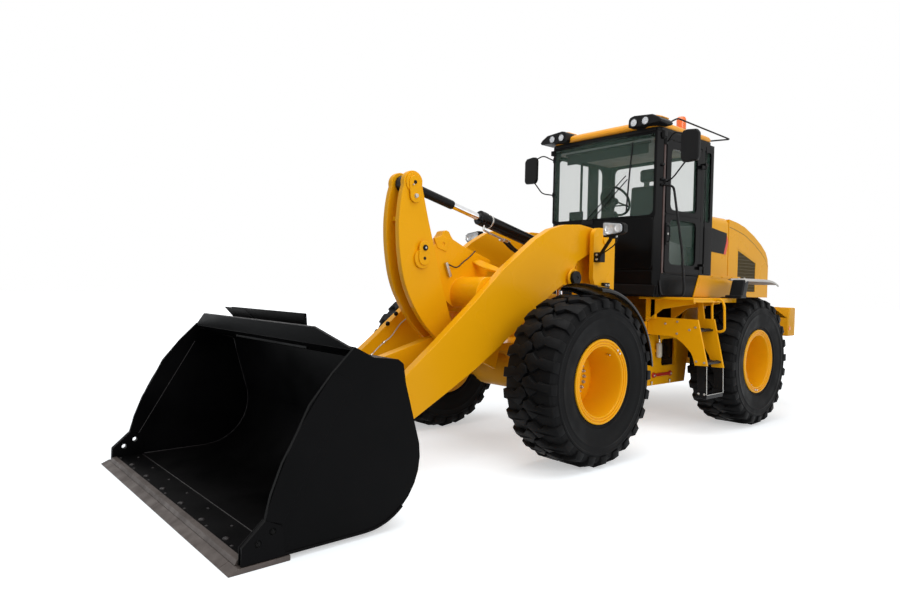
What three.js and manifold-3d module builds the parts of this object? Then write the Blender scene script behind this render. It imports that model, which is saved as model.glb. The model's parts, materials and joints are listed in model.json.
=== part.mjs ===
// Articulated wheel loader: millimetres, +X forward, +Y left, +Z up.
// Every size below is measured from the machine axis: the steering hitch stands at X = 0, Y = 0,
// and the tyres stand on Z = 0. The whole group is shifted along X at the end, so that its origin
// is the middle of the footprint on the ground.
import * as THREE from 'three';
import { mergeVertices } from 'three/addons/utils/BufferGeometryUtils.js';
import Module from 'manifold-3d';

const wasm = await Module();
wasm.setup();

// ---------------------------------------------------------------- driving dimensions
const FIT = 0.3;                  // gap between pieces that touch
const BORE_GAP = 0.8;             // radial running gap of a pin in its bore
const MOVE_GAP = 8;               // gap between pieces that pass each other
const ROUND = 20;                 // sides of a pin or bore
const TUBE_SIDES = 12;            // sides of a cylinder barrel or rod

const HALF_WHEELBASE = 1500;
const TYRE_R = 740;
const TYRE_W = 530;
const TRACK_HALF = 1005;          // middle of a tyre from the centre line
const RIM_SEAT_R = 317;
const RIM_FLANGE_R = 367;
const RIM_FLANGE_T = 26;
const RIM_WALL = 22;
const DISC_OFFSET = -105;         // outer face of the wheel disc from the middle of the tyre
const DISC_T = 18;
const SPINDLE_R = 60;
const WHEEL_SIDES = 20;

const FRAME_HALF = 240;           // front frame box, outer faces
const FRAME_WALL = 40;
const FRAME_TOP = 1000;
const FRAME_LOW = 500;
const FRAME_BACK = 160;           // front frame box, ends along X
const NOSE_REACH = 430;           // from the front axle to the frame's nose
const FRAME_NOSE = HALF_WHEELBASE + NOSE_REACH;
const ARCH_HALF = 250;            // opening over the front axle, half length
const REAR_ARCH_HALF = 230;
const AXLE_SEAT_Z = 930;
const KINGPIN_R = 55;
const HITCH_LOW_Z = 480;
const HITCH_HIGH_Z = 940;
const HITCH_PLATE = 40;
const REAR_FRAME_HALF = 500;
const REAR_PLATE = 30;
const DECK_Z = 1465;              // top of the side platforms and of the engine deck
const DECK_T = 28;
const DECK_HALF = 1100;

const FENDER_IN = 780;            // inner and outer edges of a front fender
const FENDER_OUT = 1240;
const FENDER_EDGE_R = 795;        // from the axle to the fender's edges
const FENDER_T = 12;
const FENDER_FRONT = 88;          // ends of the fender, in degrees about the axle
const FENDER_BACK = 174;
const HEADLIGHT = [1000, 974, 2095];

const ARM_IN = 400;               // inner and outer faces of a lift arm
const ARM_OUT = 480;
const TOWER_IN = 380;             // outer face of the tower's inner plate
const TOWER_OUT = 530;            // inner face of the tower's outer plate
const TOWER_PLATE = 50;
const TOWER_BACK = 430;
const TOWER_FRONT = 785;
const TOWER_TOP = 2150;
const PIVOT_A = [590, 2025];      // boom on tower, X and Z
const PIVOT_B = [3330, 420];      // bucket on arms
const PIVOT_C = [2610, 1760];     // tilt lever on boom
const PIVOT_D = [3300, 730];      // tilt link on bucket
const PIVOT_E = [2250, 1010];     // tilt link on lever
const PIVOT_F = [2710, 2410];     // tilt cylinder on lever
const PIVOT_G = [1004, 1636];     // lift cylinder on arm
const PIVOT_H = [930, 520];       // lift cylinder on front frame
const PIVOT_T = [610, 1900];      // tilt cylinder on tower
const PIN_R = 45;
const LEVER_PIN_R = 50;
const LINK_PIN_R = 40;
const CROSS_TUBE = [2050, 1455];
const CROSS_TUBE_R = 165;
const EAR_HALF = 50;              // the boom's middle ear, and the link, half thickness
const LEVER_IN = 62;
const LEVER_OUT = 118;

const LIFT_Y = 330;
const LIFT_BARREL_R = 56;
const LIFT_ROD_R = 32;
const TILT_BARREL_R = 66;
const TILT_ROD_R = 34;
const STEER_BARREL_R = 42;
const STEER_ROD_R = 22;
const STEER_Z = 735;
const STEER_BASE = [-760, 270];   // X and Y of the steering cylinder on the rear frame
const STEER_EYE = [230, 300];     // and on the front frame

const BUCKET_HALF = 1305;
const BUCKET_PLATE = 22;
const EDGE_X = 4780;
const EDGE_HALF = 1325;
const EDGE_T = 30;
const HEEL = [3930, 440];         // centre of the bucket's round heel
const HEEL_R = 406;

const CAB_FRONT = -110;
const CAB_HALF = 750;
const CAB_TOP = 3250;
const CAB_WALL = 60;
const CAB_SKIN = 40;              // floor and ceiling
const GLASS_T = 8;
const ROOF_T = 145;
const DOOR_FRONT = -215;
const DOOR_REAR = -985;
const CAB_REAR = DOOR_REAR - 285;  // door post, quarter window and corner
const DOOR_LOW = 1715;
const DOOR_HIGH = 3170;
const DOOR_RAIL = 90;
const HINGE_PIN_R = 12;
const HINGE_Z = [1820, 2980];     // undersides of the two cab hinge plates

const COWL_FRONT = CAB_REAR - 60;
const COWL_REAR = -1800;
const HOOD_REAR = -2950;
const HOOD_HALF = 700;
const HOOD_WALL = 30;
const HOOD_HINGE = [-2860, 1500];
const HOOD_PIN_R = 15;
const COWL_TOP = 2455;
const TAIL_X = -3450;

const MIDDLE_X = (EDGE_X + TAIL_X) / 2;

// ---------------------------------------------------------------- materials
const finish = (color, roughness, metalness = 0, extra = {}) =>
  new THREE.MeshStandardMaterial({ color, roughness, metalness, ...extra });
const YELLOW = () => finish(0xe0a020, 0.4);
const ORANGE_YELLOW = () => finish(0xe89020, 0.4);
const BLACK = () => finish(0x151515, 0.5);
const BLACK_PLASTIC = () => finish(0x1c1c1e, 0.7);
const GREY_PLASTIC = () => finish(0x8c8c8c, 0.6);
const RUBBER = () => finish(0x141414, 0.9);
const CHROME = () => finish(0xd0d0d0, 0.15, 1);
const EDGE_STEEL = () => finish(0x5a4a44, 0.7, 0.6);
const IRON = () => finish(0x3a3a3a, 0.7, 0.5);
const GLASS = () => finish(0xa8b8b4, 0.1, 0, { transparent: true, opacity: 0.35 });
const CLOTH = () => finish(0x2a2a2c, 0.95);
const LENS = () => finish(0xf0f0f0, 0.1, 0, { transparent: true, opacity: 0.6 });
const AMBER = () => finish(0xff6a10, 0.3);

// ---------------------------------------------------------------- solids
const X = new THREE.Vector3(1, 0, 0);
const Y = new THREE.Vector3(0, 1, 0);
const Z = new THREE.Vector3(0, 0, 1);
const turn = new THREE.Matrix4();

function solid(geometry) {
  const bare = geometry.clone();
  bare.deleteAttribute('normal');
  bare.deleteAttribute('uv');
  const merged = mergeVertices(bare, 1e-3);
  const corners = new Float32Array(merged.attributes.position.array);
  const faces = new Uint32Array(merged.index.array);
  const [a, b, c] = [new THREE.Vector3(), new THREE.Vector3(), new THREE.Vector3()];
  let volume = 0;
  for (let i = 0; i < faces.length; i += 3) {
    a.fromArray(corners, 3 * faces[i]);
    b.fromArray(corners, 3 * faces[i + 1]);
    c.fromArray(corners, 3 * faces[i + 2]);
    volume += a.dot(b.cross(c));
  }
  if (volume < 0) faces.reverse();
  return new wasm.Manifold(new wasm.Mesh({ numProp: 3, vertProperties: corners, triVerts: faces }));
}

function toMesh(name, body, material) {
  const { vertProperties, triVerts, numProp } = body.getMesh();
  const count = vertProperties.length / numProp;
  const corners = new Float32Array(count * 3);
  for (let i = 0; i < count; i += 1) {
    for (let k = 0; k < 3; k += 1) corners[3 * i + k] = vertProperties[numProp * i + k];
  }
  const geometry = new THREE.BufferGeometry();
  geometry.setAttribute('position', new THREE.BufferAttribute(corners, 3));
  geometry.setIndex(new THREE.BufferAttribute(new Uint32Array(triVerts), 1));
  geometry.computeVertexNormals();
  const mesh = new THREE.Mesh(geometry, material);
  mesh.name = name;
  return mesh;
}

const join = (...pieces) => pieces.flat().reduce((all, piece) => all.add(piece));
const cut = (body, ...holes) => holes.flat().reduce((rest, hole) => rest.subtract(hole), body);

function outline(points) {
  return new THREE.Shape(points.map(([u, v]) => new THREE.Vector2(u, v)));
}

function extruded(shape, depth, curveSegments = 8) {
  return new THREE.ExtrudeGeometry(shape, { depth, bevelEnabled: false, curveSegments });
}

// A side outline (X, Z) made thick from y0 to y1.
function sidePlate(shape, y0, y1, curveSegments) {
  const geometry = extruded(shape, y1 - y0, curveSegments);
  geometry.applyMatrix4(turn.makeBasis(X, Z, Y.clone().negate()));
  return solid(geometry.translate(0, y1, 0));
}

// A plan outline (X, Y) made thick from z0 to z1.
function flatPlate(shape, z0, z1, curveSegments) {
  return solid(extruded(shape, z1 - z0, curveSegments).translate(0, 0, z0));
}

// A front outline (Y, Z) made thick from x0 to x1.
function frontPlate(shape, x0, x1, curveSegments) {
  const geometry = extruded(shape, x1 - x0, curveSegments);
  geometry.applyMatrix4(turn.makeBasis(Y, Z, X));
  return solid(geometry.translate(x0, 0, 0));
}

function box(x0, x1, y0, y1, z0, z1) {
  const geometry = new THREE.BoxGeometry(x1 - x0, y1 - y0, z1 - z0);
  return solid(geometry.translate((x0 + x1) / 2, (y0 + y1) / 2, (z0 + z1) / 2));
}

// A round bar along Y at (x, z), from y0 to y1.
function crossBar(radius, [x, z], y0, y1, sides = ROUND) {
  const geometry = new THREE.CylinderGeometry(radius, radius, y1 - y0, sides);
  return solid(geometry.translate(x, (y0 + y1) / 2, z));
}

// A round bar along Z at (x, y), from z0 to z1.
function upright(radius, [x, y], z0, z1, sides = ROUND) {
  const geometry = new THREE.CylinderGeometry(radius, radius, z1 - z0, sides);
  return solid(geometry.rotateX(Math.PI / 2).translate(x, y, (z0 + z1) / 2));
}

// A round bar between two points.
function strut(radius, from, to, sides = 12) {
  const start = new THREE.Vector3(...from);
  const along = new THREE.Vector3(...to).sub(start);
  const geometry = new THREE.CylinderGeometry(radius, radius, along.length(), sides);
  geometry.translate(0, along.length() / 2, 0);
  geometry.applyQuaternion(new THREE.Quaternion().setFromUnitVectors(Y, along.normalize()));
  return solid(geometry.translate(...start.toArray()));
}

// A tube bent through points, with corners rounded by the curve.
function bentTube(radius, points, steps, sides = 8) {
  const stations = points.map((point) => new THREE.Vector3(...point));
  const path = new THREE.CatmullRomCurve3(stations, false, 'catmullrom', 0.2);
  const ring = new THREE.Shape();
  ring.absarc(0, 0, radius, 0, 2 * Math.PI, false);
  const settings = { extrudePath: path, steps, curveSegments: sides / 2, bevelEnabled: false };
  return solid(new THREE.ExtrudeGeometry(ring, settings));
}

// A closed profile (radius, along) turned about the Y axis.
function turned(profile, sides, start = 0) {
  const points = profile.map(([r, h]) => new THREE.Vector2(r, h));
  return new THREE.LatheGeometry([...points, points[0]], sides, start);
}

const mirrored = (body) => body.mirror([0, 1, 0]);

function onSide(side, body) {
  return side > 0 ? body : mirrored(body);
}

const SIDES = [['left', 1], ['right', -1]];
const polar = ([x, z], r, degrees) => {
  const angle = THREE.MathUtils.degToRad(degrees);
  return [x + r * Math.cos(angle), z + r * Math.sin(angle)];
};
const arc = (centre, r, from, to, steps) =>
  Array.from({ length: steps + 1 }, (_, i) => polar(centre, r, from + ((to - from) * i) / steps));

const loader = new THREE.Group();
loader.position.x = -MIDDLE_X;
const put = (name, body, material) => loader.add(toMesh(name, body, material));

// ---------------------------------------------------------------- wheels and axles
function tyre() {
  const shoulder = TYRE_R / Math.cos(Math.PI / WHEEL_SIDES);   // flats touch the ground at TYRE_R
  const half = TYRE_W / 2;
  const bead = half - RIM_FLANGE_T - 25;
  const profile = [
    [RIM_SEAT_R, -bead], [RIM_FLANGE_R + 12, -bead], [500, -half], [shoulder - 60, -half],
    [shoulder, -half + 60], [shoulder, half - 60], [shoulder - 60, half], [500, half],
    [RIM_FLANGE_R + 12, bead], [RIM_SEAT_R, bead],
  ];
  return turned(profile, WHEEL_SIDES, Math.PI / WHEEL_SIDES);
}

function rim() {
  const half = TYRE_W / 2;
  const bead = half - RIM_FLANGE_T - 25 + FIT;
  const lip = bead + RIM_FLANGE_T;
  const inside = RIM_SEAT_R - RIM_WALL;
  const seat = RIM_SEAT_R - FIT;
  const bore = SPINDLE_R + BORE_GAP;
  const profile = [
    [bore, DISC_OFFSET - DISC_T], [inside, DISC_OFFSET - DISC_T], [inside, -lip], [RIM_FLANGE_R, -lip],
    [RIM_FLANGE_R, -bead], [seat, -bead], [seat, bead], [RIM_FLANGE_R, bead], [RIM_FLANGE_R, lip],
    [inside, lip], [inside, DISC_OFFSET], [bore, DISC_OFFSET],
  ];
  return turned(profile, WHEEL_SIDES, Math.PI / WHEEL_SIDES);
}

function addWheel(place, x, side) {
  const group = new THREE.Group();
  group.position.set(x, side * TRACK_HALF, TYRE_R);
  if (side < 0) group.rotation.z = Math.PI;
  const tyreMesh = toMesh(`${place}_tyre`, solid(tyre()), RUBBER());
  const rimMesh = toMesh(`${place}_rim`, solid(rim()), YELLOW());
  group.add(tyreMesh, rimMesh);
  loader.add(group);
}
for (const [end, x] of [['front', HALF_WHEELBASE], ['rear', -HALF_WHEELBASE]]) {
  for (const [name, side] of SIDES) addWheel(`${end}_${name}`, x, side);
}

// Housing with a fat middle, flanges and hubs that carry the wheel discs.
function axle(x) {
  const disc = TRACK_HALF + DISC_OFFSET;
  const flange = disc - DISC_T - MOVE_GAP;
  const half = [
    [0, -disc - 30], [SPINDLE_R, -disc - 30], [SPINDLE_R, -flange], [210, -flange], [210, -flange + 60],
    [120, -600], [110, -330], [185, -170],
  ];
  const profile = [...half, ...half.slice().reverse().map(([r, h]) => [r, -h])];
  const points = profile.map(([r, h]) => new THREE.Vector2(r, h));
  const shape = new THREE.LatheGeometry(points, WHEEL_SIDES, Math.PI / WHEEL_SIDES);
  const housing = solid(shape.translate(x, 0, TYRE_R));
  const pad = box(x - 110, x + 110, -FRAME_HALF, FRAME_HALF, TYRE_R, AXLE_SEAT_Z - FIT);
  return join(housing, pad);
}
put('front_axle', axle(HALF_WHEELBASE), YELLOW());
put('rear_axle', axle(-HALF_WHEELBASE), YELLOW());

// ---------------------------------------------------------------- front frame and tower
function hitchLug(z0, z1, reach, half) {
  const nose = 105;
  const lug = new THREE.Shape();
  lug.moveTo(reach, -half);
  lug.lineTo(0, -nose);
  lug.absarc(0, 0, nose, -Math.PI / 2, Math.PI / 2, reach > 0);
  lug.lineTo(reach, half);
  lug.closePath();
  return flatPlate(lug, z0, z1, 6);
}

function frontFrame() {
  const web = outline([
    [FRAME_BACK, FRAME_TOP], [FRAME_BACK, FRAME_LOW], [HALF_WHEELBASE - ARCH_HALF - 60, FRAME_LOW],
    [HALF_WHEELBASE - ARCH_HALF, AXLE_SEAT_Z], [HALF_WHEELBASE + ARCH_HALF, AXLE_SEAT_Z],
    [HALF_WHEELBASE + ARCH_HALF + 40, 760], [FRAME_NOSE, 820], [FRAME_NOSE, FRAME_TOP],
  ]);
  const half = FRAME_HALF;
  const body = [
    box(FRAME_BACK, FRAME_NOSE, -half, half, FRAME_TOP - 30, FRAME_TOP),
    box(FRAME_BACK + 10, FRAME_BACK + 50, -half, half, FRAME_LOW, FRAME_TOP),
    box(FRAME_NOSE - 40, FRAME_NOSE, -half, half, 830, FRAME_TOP),
    upright(KINGPIN_R, [0, 0], HITCH_LOW_Z - 15, HITCH_LOW_Z + 2 * HITCH_PLATE),
    upright(KINGPIN_R, [0, 0], HITCH_HIGH_Z - HITCH_PLATE, HITCH_HIGH_Z + HITCH_PLATE + 15),
  ];
  for (const z of [HITCH_LOW_Z + HITCH_PLATE + BORE_GAP, HITCH_HIGH_Z - HITCH_PLATE - BORE_GAP]) {
    body.push(hitchLug(z, z + HITCH_PLATE, FRAME_BACK + 20, half));
  }
  for (const side of [1, -1]) {
    body.push(onSide(side, sidePlate(web, half - FRAME_WALL, half)));
    body.push(onSide(side, crossBar(PIN_R - 5, PIVOT_H, half - 20, LIFT_Y + 60)));
    for (const z of [STEER_Z - 50, STEER_Z + 32]) {
      body.push(onSide(side, roundedBar(STEER_EYE, [FRAME_BACK + 60, half - 30], 45, z, z + 18)));
    }
  }
  return join(body);
}

// Inner and outer plates with the boom's pins between them, and ears for the tilt cylinder.
function towerPlate(low) {
  const corner = 90;
  const top = TOWER_TOP - corner;
  const plate = new THREE.Shape();
  plate.moveTo(TOWER_BACK, low[0][1]);
  low.forEach((point) => plate.lineTo(...point));
  plate.lineTo(TOWER_FRONT, top);
  plate.absarc(TOWER_FRONT - corner, top, corner, 0, Math.PI / 2, false);
  plate.lineTo(TOWER_BACK, TOWER_TOP);
  return plate;
}

function tower() {
  const inner = towerPlate([[900, FRAME_TOP - 10], [800, 1350]]);
  const outer = towerPlate([[640, 1500], [730, 1530], [TOWER_FRONT, 1640]]);
  const inside = TOWER_IN - TOWER_PLATE;
  const back = outline([[inside, 1150], [TOWER_OUT, 1450], [TOWER_OUT, TOWER_TOP], [inside, TOWER_TOP]]);
  const foot = outline([[0, FRAME_TOP - 20], [TOWER_IN, FRAME_TOP - 20], [TOWER_IN, 1180], [0, 1180]]);
  const earIn = TILT_BARREL_R + MOVE_GAP;
  const earOut = earIn + 28;
  const ear = outline([[440, 1780], [560, 1790], ...arc(PIVOT_T, 85, -60, 90, 5), [460, 2000]]);
  const half = join(
    sidePlate(inner, inside, TOWER_IN, 5), sidePlate(outer, TOWER_OUT, TOWER_OUT + TOWER_PLATE, 5),
    frontPlate(back, TOWER_BACK, TOWER_BACK + 32), frontPlate(foot, TOWER_BACK, TOWER_BACK + 40),
    frontPlate(foot, 850, 880), crossBar(PIN_R, PIVOT_A, TOWER_IN - 60, TOWER_OUT + TOWER_PLATE + 15),
    sidePlate(ear, earIn, earOut),
  );
  return join(
    half, mirrored(half), box(TOWER_BACK, TOWER_BACK + 40, -TOWER_IN, TOWER_IN, 1750, 2020),
    crossBar(PIN_R - 10, PIVOT_T, -earOut + 6, earOut - 6),
  );
}

// A flat bar with two round ends, seen from above.
function roundedBar(from, to, radius, z0, z1) {
  const angle = Math.atan2(to[1] - from[1], to[0] - from[0]);
  const bar = new THREE.Shape();
  bar.absarc(to[0], to[1], radius, angle - Math.PI / 2, angle + Math.PI / 2, false);
  bar.absarc(from[0], from[1], radius, angle + Math.PI / 2, angle + 1.5 * Math.PI, false);
  bar.closePath();
  return flatPlate(bar, z0, z1, 5);
}
put('front_frame', join(frontFrame(), tower()), YELLOW());

// ---------------------------------------------------------------- front fenders and headlights
// A crowned moulding over the rear upper quarter of the wheel, turned down along its edges.
function frontFender() {
  const lip = FENDER_EDGE_R - 28;
  const crown = [
    [FENDER_EDGE_R, FENDER_IN], [FENDER_EDGE_R + 32, FENDER_IN + 70], [FENDER_EDGE_R + 45, FENDER_IN + 165],
    [FENDER_EDGE_R + 44, FENDER_IN + 260], [FENDER_EDGE_R + 30, FENDER_IN + 360],
    [FENDER_EDGE_R, FENDER_OUT],
  ];
  const profile = [
    [lip, FENDER_IN], ...crown, [lip, FENDER_OUT], [lip, FENDER_OUT - FENDER_T],
    ...crown.map(([r, y]) => [r - FENDER_T, y]).reverse().slice(1, -1), [lip, FENDER_IN + FENDER_T],
  ];
  const centre = [HALF_WHEELBASE, TYRE_R];
  const ring = solid(turned(profile, 72).translate(centre[0], 0, centre[1]));
  const reach = 1.5 * FENDER_EDGE_R;
  const sector = outline([centre, ...arc(centre, reach, FENDER_FRONT, FENDER_BACK, 3)]);
  const shell = ring.intersect(sidePlate(sector, FENDER_IN - 10, FENDER_OUT + 10));
  const plateFace = TOWER_OUT + TOWER_PLATE + FIT;
  const seat = [...polar(centre, FENDER_EDGE_R + 5, 141)];
  return join(
    shell, box(560, 650, plateFace, plateFace + 45, 1515, 1600),
    strut(22, [605, plateFace + 25, 1545], [seat[0], FENDER_IN + 12, seat[1]]),
  );
}

function headlight() {
  const [x, y, z] = HEADLIGHT;
  const plateFace = TOWER_OUT + TOWER_PLATE + FIT;
  return join(
    box(x - 60, x + 40, y - 125, y + 105, z - 75, z + 75),
    strut(18, [x - 20, y - 40, z - 60], [760, 640, 1850]),
    box(TOWER_FRONT - 85, TOWER_FRONT, plateFace, 660, 1800, 1900),
  );
}
for (const [name, side] of SIDES) {
  put(`${name}_front_fender`, onSide(side, frontFender()), BLACK_PLASTIC());
  put(`${name}_headlight`, onSide(side, headlight()), LENS());
}

// ---------------------------------------------------------------- boom
function liftArm() {
  const points = [
    ...arc(PIVOT_B, 150, -118, 52, 9),
    [3033, 808], [2723, 1048], [2320, 1375], [1946, 1699], [1713, 1863], [1530, 1991], [1329, 2097],
    [1118, 2154], [868, 2174],
    ...arc(PIVOT_A, 122, 82, 262, 8),
    [651, 1918], [800, 1850], [909, 1800], [950, 1735],
    ...arc(PIVOT_G, 80, 150, 290, 5),
    [1122, 1565], [1255, 1497], [1576, 1273], [2029, 965], [2288, 805], [2586, 643], [2956, 449],
  ];
  const cap = crossBar(62, PIVOT_G, ARM_OUT - 10, ARM_OUT + 25, 12);
  const arm = join(sidePlate(outline(points), ARM_IN, ARM_OUT), cap);
  const bores = [PIVOT_A, PIVOT_B].map((at) => crossBar(PIN_R + BORE_GAP, at, ARM_IN - 20, ARM_OUT + 20));
  return cut(arm, bores);
}
for (const [name, side] of SIDES) put(`${name}_lift_arm`, onSide(side, liftArm()), YELLOW());

function armCrossTube() {
  const half = ARM_IN - FIT;
  const tube = crossBar(CROSS_TUBE_R, CROSS_TUBE, -half, half);
  const ear = outline([
    [1960, 1330], [2180, 1340], [2420, 1500], ...arc(PIVOT_C, 125, -55, 150, 6), [2400, 1900],
    ...arc([2270, 1985], 52, 10, 170, 4), [2190, 1960], [2050, 1900], [1700, 1790], [1750, 1640],
    [1900, 1560],
  ]);
  const pinHalf = LEVER_OUT + 22;
  const pin = crossBar(LEVER_PIN_R, PIVOT_C, -pinHalf, pinHalf);
  const body = [tube, sidePlate(ear, -EAR_HALF, EAR_HALF), pin];
  for (const side of [1, -1]) {
    const gusset = new THREE.Shape();
    gusset.moveTo(1560, half);
    gusset.quadraticCurveTo(1620, 120, 1800, 30);
    gusset.lineTo(2000, 30);
    gusset.lineTo(2000, half);
    gusset.closePath();
    body.push(onSide(side, flatPlate(gusset, 1560, 1585)));
  }
  return join(body);
}
put('arm_cross_tube', armCrossTube(), YELLOW());

function tiltLever() {
  const points = [
    ...arc(PIVOT_F, 95, -20, 160, 7),
    [2580, 2250], [2530, 2060], [2470, 1850], [2410, 1620], [2330, 1400], [2230, 1200],
    ...arc(PIVOT_E, 95, 170, 330, 7),
    [2420, 1130], [2570, 1330], [2680, 1500], [2770, 1700], [2800, 1880], [2810, 2060], [2805, 2250],
  ];
  const cheek = join(
    sidePlate(outline(points), LEVER_IN, LEVER_OUT),
    crossBar(52, PIVOT_F, LEVER_OUT - 10, LEVER_OUT + 18, 12),
  );
  const pinHalf = LEVER_OUT + 10;
  const body = join(cheek, mirrored(cheek), crossBar(LINK_PIN_R, PIVOT_E, -pinHalf, pinHalf));
  return cut(body, crossBar(LEVER_PIN_R + BORE_GAP, PIVOT_C, -LEVER_OUT - 60, LEVER_OUT + 60));
}
put('tilt_lever', tiltLever(), YELLOW());

function tiltLink() {
  const heading = THREE.MathUtils.radToDeg(Math.atan2(PIVOT_D[1] - PIVOT_E[1], PIVOT_D[0] - PIVOT_E[0]));
  const points = [
    ...arc(PIVOT_D, 85, heading - 80, heading + 80, 7), ...arc(PIVOT_E, 95, heading + 95, heading + 265, 7),
  ];
  const half = EAR_HALF + 10;
  const bores = [PIVOT_E, PIVOT_D].map((at) => crossBar(LINK_PIN_R + BORE_GAP, at, -half, half));
  return cut(sidePlate(outline(points), -EAR_HALF, EAR_HALF), bores);
}
put('tilt_link', tiltLink(), YELLOW());

// ---------------------------------------------------------------- bucket
const LIP_BACK = [3668, 1033];
const LIP_FRONT = [4026, 1154];
const FLOOR_FRONT = [4690, EDGE_T + FIT];
function bucketOuter() {
  const heelFront = polar(HEEL, HEEL_R, 267);
  return [LIP_FRONT, [3890, 1085], [3709, 1064], LIP_BACK, [3647, 909], ...arc(HEEL, HEEL_R, 157, 267, 9),
    [heelFront[0] + 40, EDGE_T + FIT], FLOOR_FRONT];
}

// The outline moved inwards by one plate thickness.
function inset(points, depth) {
  return points.map((p, i) => {
    const before = points[Math.max(i - 1, 0)];
    const after = points[Math.min(i + 1, points.length - 1)];
    const [dx, dz] = [after[0] - before[0], after[1] - before[1]];
    const size = Math.hypot(dx, dz);
    return [p[0] - (dz / size) * depth, p[1] + (dx / size) * depth];
  });
}

// A plate across the bucket, leaning along a side line and narrowing from one half width to another.
function leaningPlate(low, high, thick, lowHalf, highHalf) {
  const strip = outline([low, [low[0] + thick, low[1]], [high[0] + thick, high[1]], high]);
  const front = outline([[-lowHalf, low[1]], [lowHalf, low[1]], [highHalf, high[1]], [-highHalf, high[1]]]);
  const whole = sidePlate(strip, -BUCKET_HALF, BUCKET_HALF);
  return whole.intersect(frontPlate(front, low[0] - 10, high[0] + 2 * thick));
}

function bucket() {
  const outer = bucketOuter();
  const inner = inset(outer, BUCKET_PLATE);
  const wall = outline([...outer, ...inner.slice().reverse()]);
  const wrap = sidePlate(wall, -BUCKET_HALF + 10, BUCKET_HALF - 10);
  const cheek = outline([
    ...outer, [4704, 126], [4572, 248], [4542, 373], [4478, 536], [4398, 677], [4316, 840], [4173, 1010],
  ]);
  const armEar = outline([...arc(PIVOT_B, 130, 110, 250, 7), [3640, 180], [3560, 450], [3600, 720]]);
  const linkEar = outline([...arc(PIVOT_D, 95, 60, 235, 7), [3570, 520], [3640, 760], [3655, 930]]);
  const gap = 12;
  const earT = 36;
  const linkEarIn = EAR_HALF + 14;
  const half = join(
    sidePlate(armEar, ARM_IN - gap - earT, ARM_IN - gap),
    sidePlate(armEar, ARM_OUT + gap, ARM_OUT + gap + earT),
    crossBar(PIN_R, PIVOT_B, ARM_IN - 60, ARM_OUT + 60), sidePlate(linkEar, linkEarIn, linkEarIn + 30),
    crossBar(52, PIVOT_D, linkEarIn + 20, linkEarIn + 48, 12),
  );
  const ears = cut(join(half, mirrored(half)), sidePlate(outline(inner), -BUCKET_HALF, BUCKET_HALF));
  const side = sidePlate(cheek, BUCKET_HALF - BUCKET_PLATE, BUCKET_HALF);
  const lip = leaningPlate([LIP_FRONT[0] - 14, LIP_FRONT[1] - 20], [4078, 1254], 22, BUCKET_HALF - 2, 930);
  const guard = leaningPlate([3940, 1080], [3975, 1321], 18, 590, 614);
  return join(wrap, ears, side, mirrored(side), lip, guard);
}
put('bucket_shell', bucket(), BLACK());

function cuttingEdge() {
  const blade = outline([[4430, 0], [EDGE_X, 0], [EDGE_X, 8], [EDGE_X - 70, EDGE_T], [4430, EDGE_T]]);
  return sidePlate(blade, -EDGE_HALF, EDGE_HALF);
}
put('cutting_edge', cuttingEdge(), EDGE_STEEL());

// ---------------------------------------------------------------- hydraulic cylinders
// Built along +Y from the base pin, then laid along the line to the rod eye.
function laid(geometry, from, to) {
  const start = new THREE.Vector3(...from);
  const along = new THREE.Vector3(...to).sub(start).normalize();
  geometry.applyQuaternion(new THREE.Quaternion().setFromUnitVectors(Y, along));
  return solid(geometry.translate(...from));
}

function barrel({ from, to, radius, rodR, length, baseR, baseHalf, pinR, alongPin }) {
  const bore = rodR + 10;
  const profile = [
    [0, baseR * 0.6], [radius, baseR * 0.9], [radius, length], [rodR + BORE_GAP, length],
    [rodR + BORE_GAP, length - 40], [bore, length - 40], [bore, baseR + 40], [0, baseR + 40],
  ];
  const points = profile.map(([r, h]) => new THREE.Vector2(r, h));
  const tube = laid(new THREE.LatheGeometry(points, TUBE_SIDES), from, to);
  const eye = alongPin(baseR, from, baseHalf, 14);
  return cut(join(tube, eye), alongPin(pinR + BORE_GAP, from, baseHalf + 30));
}

function rod({ from, to, rodR, inside, eyeR, eyeHalf, pinR, alongPin }) {
  const start = new THREE.Vector3(...from);
  const length = new THREE.Vector3(...to).sub(start).length();
  const geometry = new THREE.CylinderGeometry(rodR, rodR, length - inside - eyeR / 2, TUBE_SIDES);
  geometry.translate(0, (inside + length - eyeR / 2) / 2, 0);
  const bar = laid(geometry, from, to);
  return cut(join(bar, alongPin(eyeR, to, eyeHalf, 14)), alongPin(pinR, to, eyeHalf + 10, 14));
}

const acrossPin = (radius, [x, y, z], half, sides) => crossBar(radius, [x, z], y - half, y + half, sides);
const uprightPin = (radius, [x, y, z], half, sides) => upright(radius, [x, y], z - half, z + half, sides);

const TILT = {
  from: [PIVOT_T[0], 0, PIVOT_T[1]], to: [PIVOT_F[0], 0, PIVOT_F[1]], alongPin: acrossPin,
  radius: TILT_BARREL_R, rodR: TILT_ROD_R, length: 1250, baseR: 78, baseHalf: TILT_BARREL_R + 1,
  pinR: PIN_R - 10, inside: 560, eyeR: 75, eyeHalf: 50,
};
const lift = (side) => ({
  from: [PIVOT_H[0], side * LIFT_Y, PIVOT_H[1]], to: [PIVOT_G[0], side * LIFT_Y, PIVOT_G[1]],
  radius: LIFT_BARREL_R, rodR: LIFT_ROD_R, length: 930, baseR: 70, baseHalf: 45, pinR: PIN_R - 5,
  inside: 130, eyeR: 68, eyeHalf: 42, alongPin: acrossPin,
});
const steer = (side) => ({
  from: [STEER_BASE[0], side * STEER_BASE[1], STEER_Z], to: [STEER_EYE[0], side * STEER_EYE[1], STEER_Z],
  radius: STEER_BARREL_R, rodR: STEER_ROD_R, length: 640, baseR: 48, baseHalf: 26, pinR: 22,
  inside: 330, eyeR: 42, eyeHalf: 24, alongPin: uprightPin,
});

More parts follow.
